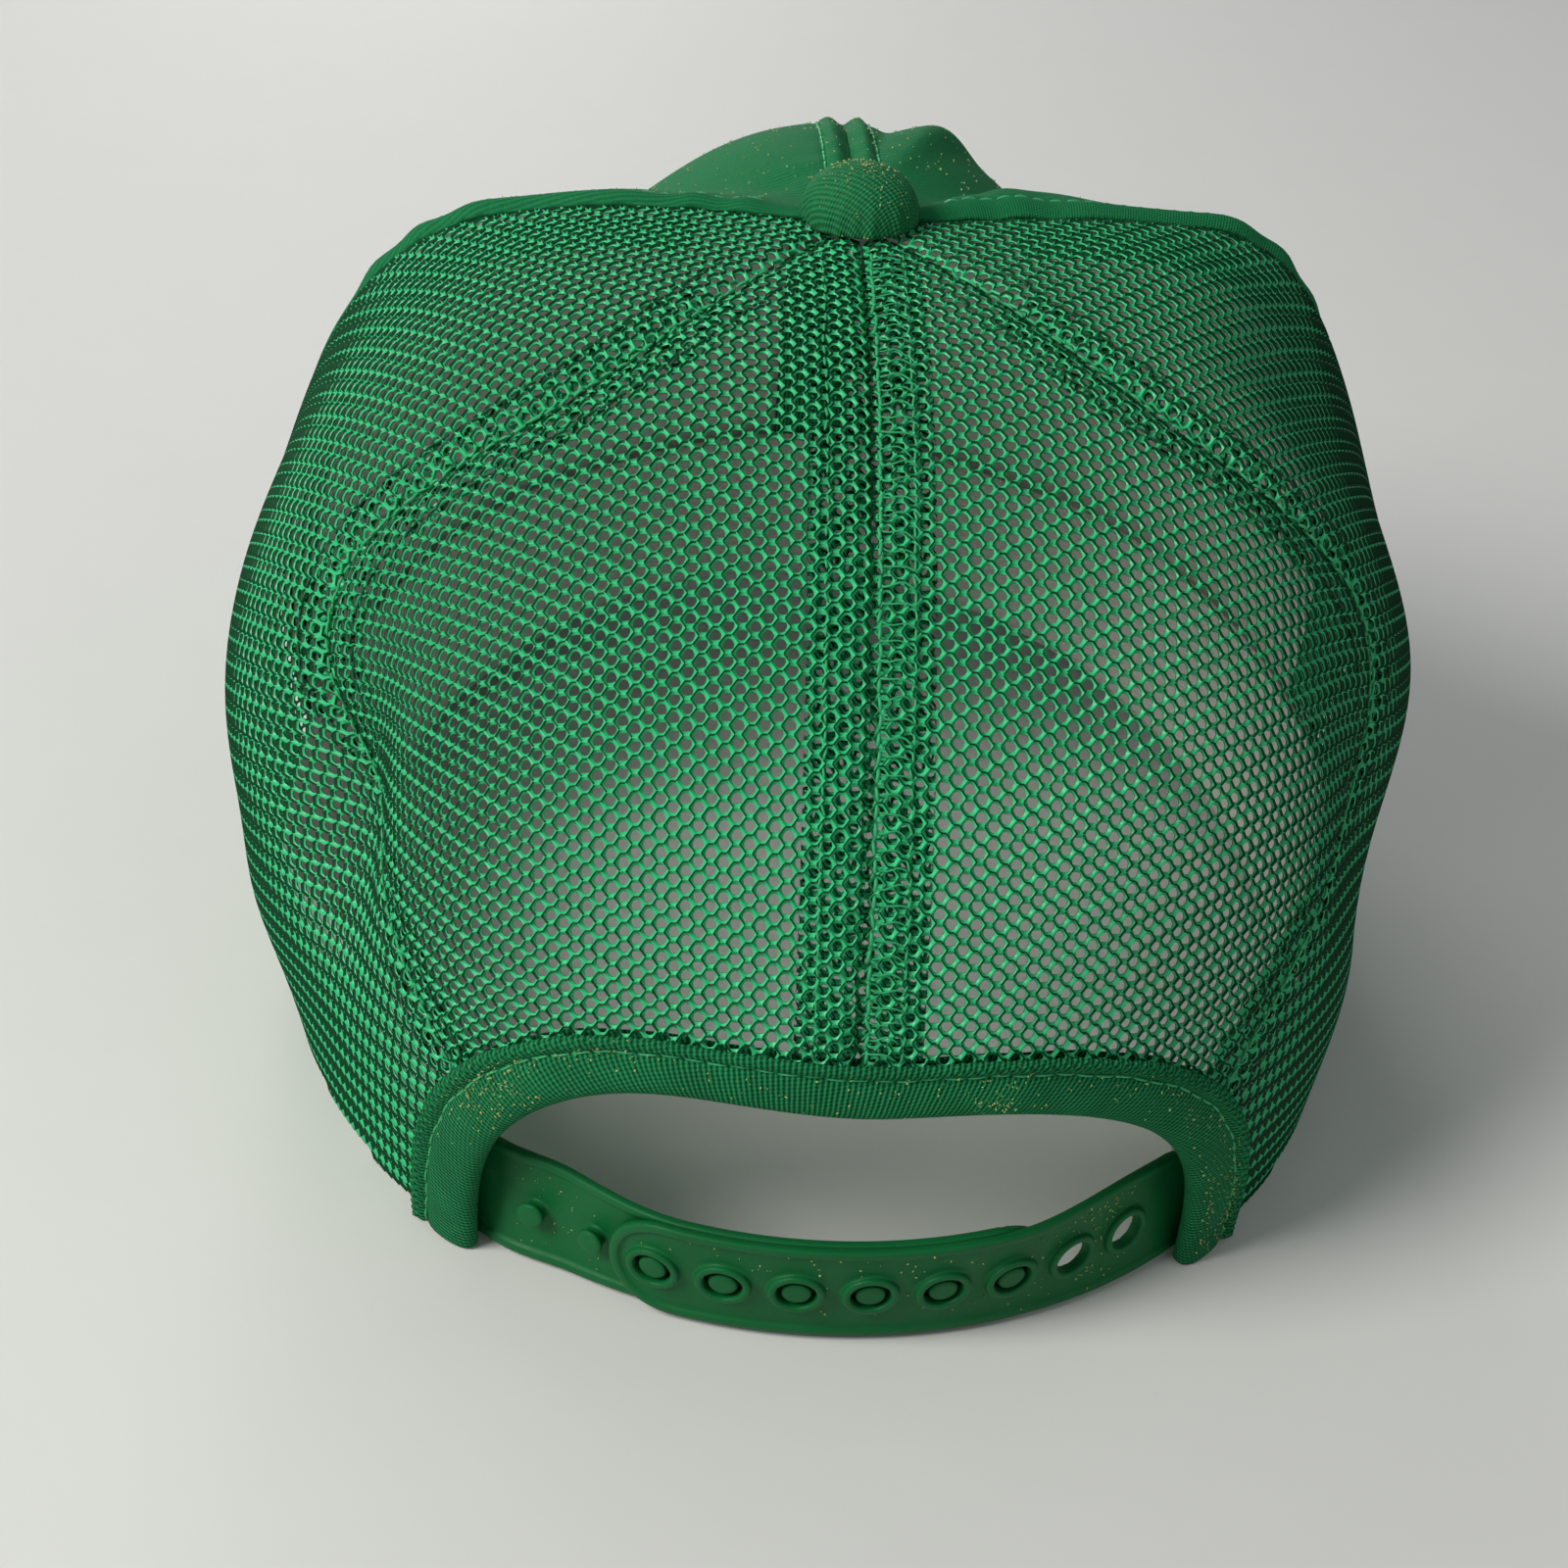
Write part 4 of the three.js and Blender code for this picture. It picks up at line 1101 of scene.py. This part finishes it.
# ---- lint ---------------------------------------------------------------------------------------
def flecks(name, places, body="cap", size=(0.07, 0.27)):
    """Specks of yellowish lint: (point, normal) pairs."""
    faces = [f for k in range(4) for f in ((k, (k + 1) % 4, 4), ((k + 1) % 4, k, 5))]
    parts = []
    for place, normal in places:
        n = Vector(normal).normalized()
        a = n.orthogonal().normalized()
        a.rotate(Matrix.Rotation(rng.uniform(0, TAU), 3, n))
        b = n.cross(a)
        long = rng.uniform(*size)
        short = long * rng.uniform(0.3, 0.8)
        centre = Vector(place)
        corners = (a * long, b * short, -a * long, -b * short)
        points = [centre + corner + n * rng.uniform(-0.03, 0.12) for corner in corners]
        points += [centre + n * rng.uniform(0.12, 0.3), centre - n * 0.1]
        parts.append((points, faces))
    build(name, merge(parts), [LINT], body=body, smooth=False)


def cluster(count, centre, spread):
    """Random values about the centre, thinning outwards."""
    return [tuple(rng.gauss(c, s) for c, s in zip(centre, spread)) for _ in range(count)]


# Lint clusters: how many, then the centre and spread of the two coordinates on each surface.
BINDING_LINT = (      # turn about the arch, distance from its edge
    (260, (math.radians(38), 5.2), (0.10, 2.4)), (110, (math.radians(55), 6.9), (0.10, 1.1)),
    (190, (math.radians(170), 4.4), (0.10, 2.6)), (80, (math.radians(112), 3.2), (0.04, 2.2)),
    (120, (math.radians(150), 4.4), (0.25, 2.6)), (100, (math.radians(90), 4.4), (0.6, 2.6)),
)
FRONT_LINT = (        # azimuth in radians, elevation in degrees
    (260, (0.35, 68), (0.5, 9)), (180, (-0.4, 66), (0.4, 9)),
    (130, (0.9, 62), (0.25, 10)), (70, (0, 40), (0.6, 18)),
)
STRAP_LINT = (        # along and up the strap
    (190, (-37, 9), (5.0, 5.0)), (60, (-20, 12), (14, 4.5)), (50, (10, 14), (16, 4)),
)


def make_lint():
    places = []
    for count, centre, spread in BINDING_LINT:
        for turn, grow in cluster(count, centre, spread):
            if 0.02 < turn < math.pi - 0.02 and 0.8 < grow < 7.7:
                p, n = binding_points(np.array([turn]), np.array([grow]), 1.55)
                places.append((p[0], n[0]))
    for count, centre, spread in FRONT_LINT:
        for phi, up in cluster(count, centre, spread):
            psi = np.array(math.radians(up))
            if 12 < up < 84 and abs(phi) < front_side(psi) - 0.05:
                phi = np.array(phi)
                places.append((on_crown(phi, psi, front_relief(phi, psi) + 0.05), crown_normal(phi, psi)))
    for _ in range(170):
        turn, t = rng.uniform(0, TAU), min(1, abs(rng.gauss(0.25, 0.4)))
        r = BUTTON["radius"] * math.sin(t * math.pi / 2)
        z = BUTTON["height"] * math.cos(t * math.pi / 2) ** 0.8
        place = (r * math.cos(turn), r * math.sin(turn), CROWN_HEIGHT + BUTTON["lift"] + 0.15 + z)
        places.append((place, (r * math.cos(turn) * 0.7, r * math.sin(turn) * 0.7, z + 0.5)))
    flecks("lint", places)

    half, edge = STRAP["height"] / 2, 0.8
    places = []
    for count, centre, spread in STRAP_LINT:
        for along, up in cluster(count, centre, spread):
            near = min(abs(along - hole) for hole in HOLE_PLACES)
            if -43 < along < 27 and abs(up - half) < half - edge and math.hypot(near, up - half) > 4.0:
                level = 1.42 if abs(up - half) > half - 2 * edge else 0.93
                p = strap_point(along, up, level)
                places.append((p, strap_point(along, up, level + 1) - p))
    flecks("strap_lint", places, "hole_strap", size=(0.08, 0.3))

    places = []
    for along, up in cluster(45, (42, 9), (5, 5)):
        if 33 < along < 47 and abs(up - half) < half - edge:
            p = strap_point(along, up, 0.88 + float(pin_step(along)))
            places.append((p, strap_point(along, up, 2.0) - strap_point(along, up, 1.0)))
    flecks("pin_strap_lint", places, "pin_strap", size=(0.08, 0.25))


# ---- camera and light ---------------------------------------------------------------------------
CAMERA = {"place": (30.6, 411.4, 288.2), "yaw": -3.49, "pitch": 32.17, "roll": 3.62, "lens": 72.36}
# Soft lights: place and target in metres, size, power, colour and how far the light fans out.
LIGHTS = {
    "key": ((0.95, 0.55, 0.95), (0, 0, 0.05), 0.7, 18, (1.0, 0.99, 0.96), math.pi),
    "fill": ((-0.9, 0.9, 0.7), (0, 0, 0.05), 1.2, 1.6, (0.95, 0.98, 1.0), math.pi),
    "front": ((0.5, -1.2, 0.9), (0, 0, 0.05), 1.2, 4.6, (1.0, 1.0, 1.0), math.pi),
    "low_front": ((0.15, -1.1, 0.17), (0, 0, 0.01), 0.3, 0.4, (1.0, 1.0, 1.0), math.radians(70)),
}


def make_camera():
    yaw, pitch, roll = (math.radians(CAMERA[k]) for k in ("yaw", "pitch", "roll"))
    forward = Vector((
        math.sin(yaw) * math.cos(pitch), -math.cos(yaw) * math.cos(pitch), -math.sin(pitch),
    ))
    right = forward.cross(Vector((0, 0, 1))).normalized()
    up = right.cross(forward)
    tilted_right = right * math.cos(roll) + up * math.sin(roll)
    tilted_up = up * math.cos(roll) - right * math.sin(roll)
    data = bpy.data.cameras.new("camera")
    data.lens = CAMERA["lens"]
    data.sensor_width = 36.0
    data.clip_start = 0.01
    data.clip_end = 50.0
    o = bpy.data.objects.new("camera", data)
    rotation = Matrix((tilted_right, tilted_up, -forward)).transposed().to_4x4()
    o.matrix_world = Matrix.Translation(Vector(CAMERA["place"]) * MM) @ rotation
    bpy.context.scene.collection.objects.link(o)
    bpy.context.scene.camera = o


def make_stage():
    bpy.ops.mesh.primitive_plane_add(size=6.0, location=(0, 0, -0.0002))
    floor = bpy.context.object
    floor.name = "floor"
    floor.data.materials.append(STAGE)
    world = bpy.data.worlds.new("studio")
    bpy.context.scene.world = world
    world.use_nodes = True
    background = world.node_tree.nodes["Background"]
    background.inputs[0].default_value = (0.93, 0.96, 1.0, 1)
    background.inputs[1].default_value = 0.24
    for name, (place, target, size, power, colour, spread) in LIGHTS.items():
        data = bpy.data.lights.new(name, "AREA")
        data.shape = "DISK"
        data.size = size
        data.energy = power
        data.color = colour
        data.spread = spread
        o = bpy.data.objects.new(name, data)
        o.location = place
        o.rotation_euler = (Vector(target) - Vector(place)).to_track_quat("-Z", "Y").to_euler()
        bpy.context.scene.collection.objects.link(o)


make_camera()
make_stage()
bpy.context.scene.view_settings.view_transform = "Standard"
make_nets()
make_front()
make_sweatband()
make_binding()
make_seam_threads()
make_straps()
make_button()
make_visor()
make_lint()

for name, material in (("visor_board", BOARD), ("button_shell", METAL), ("button_stem", METAL),
                       ("button_washer", METAL)):
    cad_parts[name].data.materials.clear()
    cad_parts[name].data.materials.append(material)
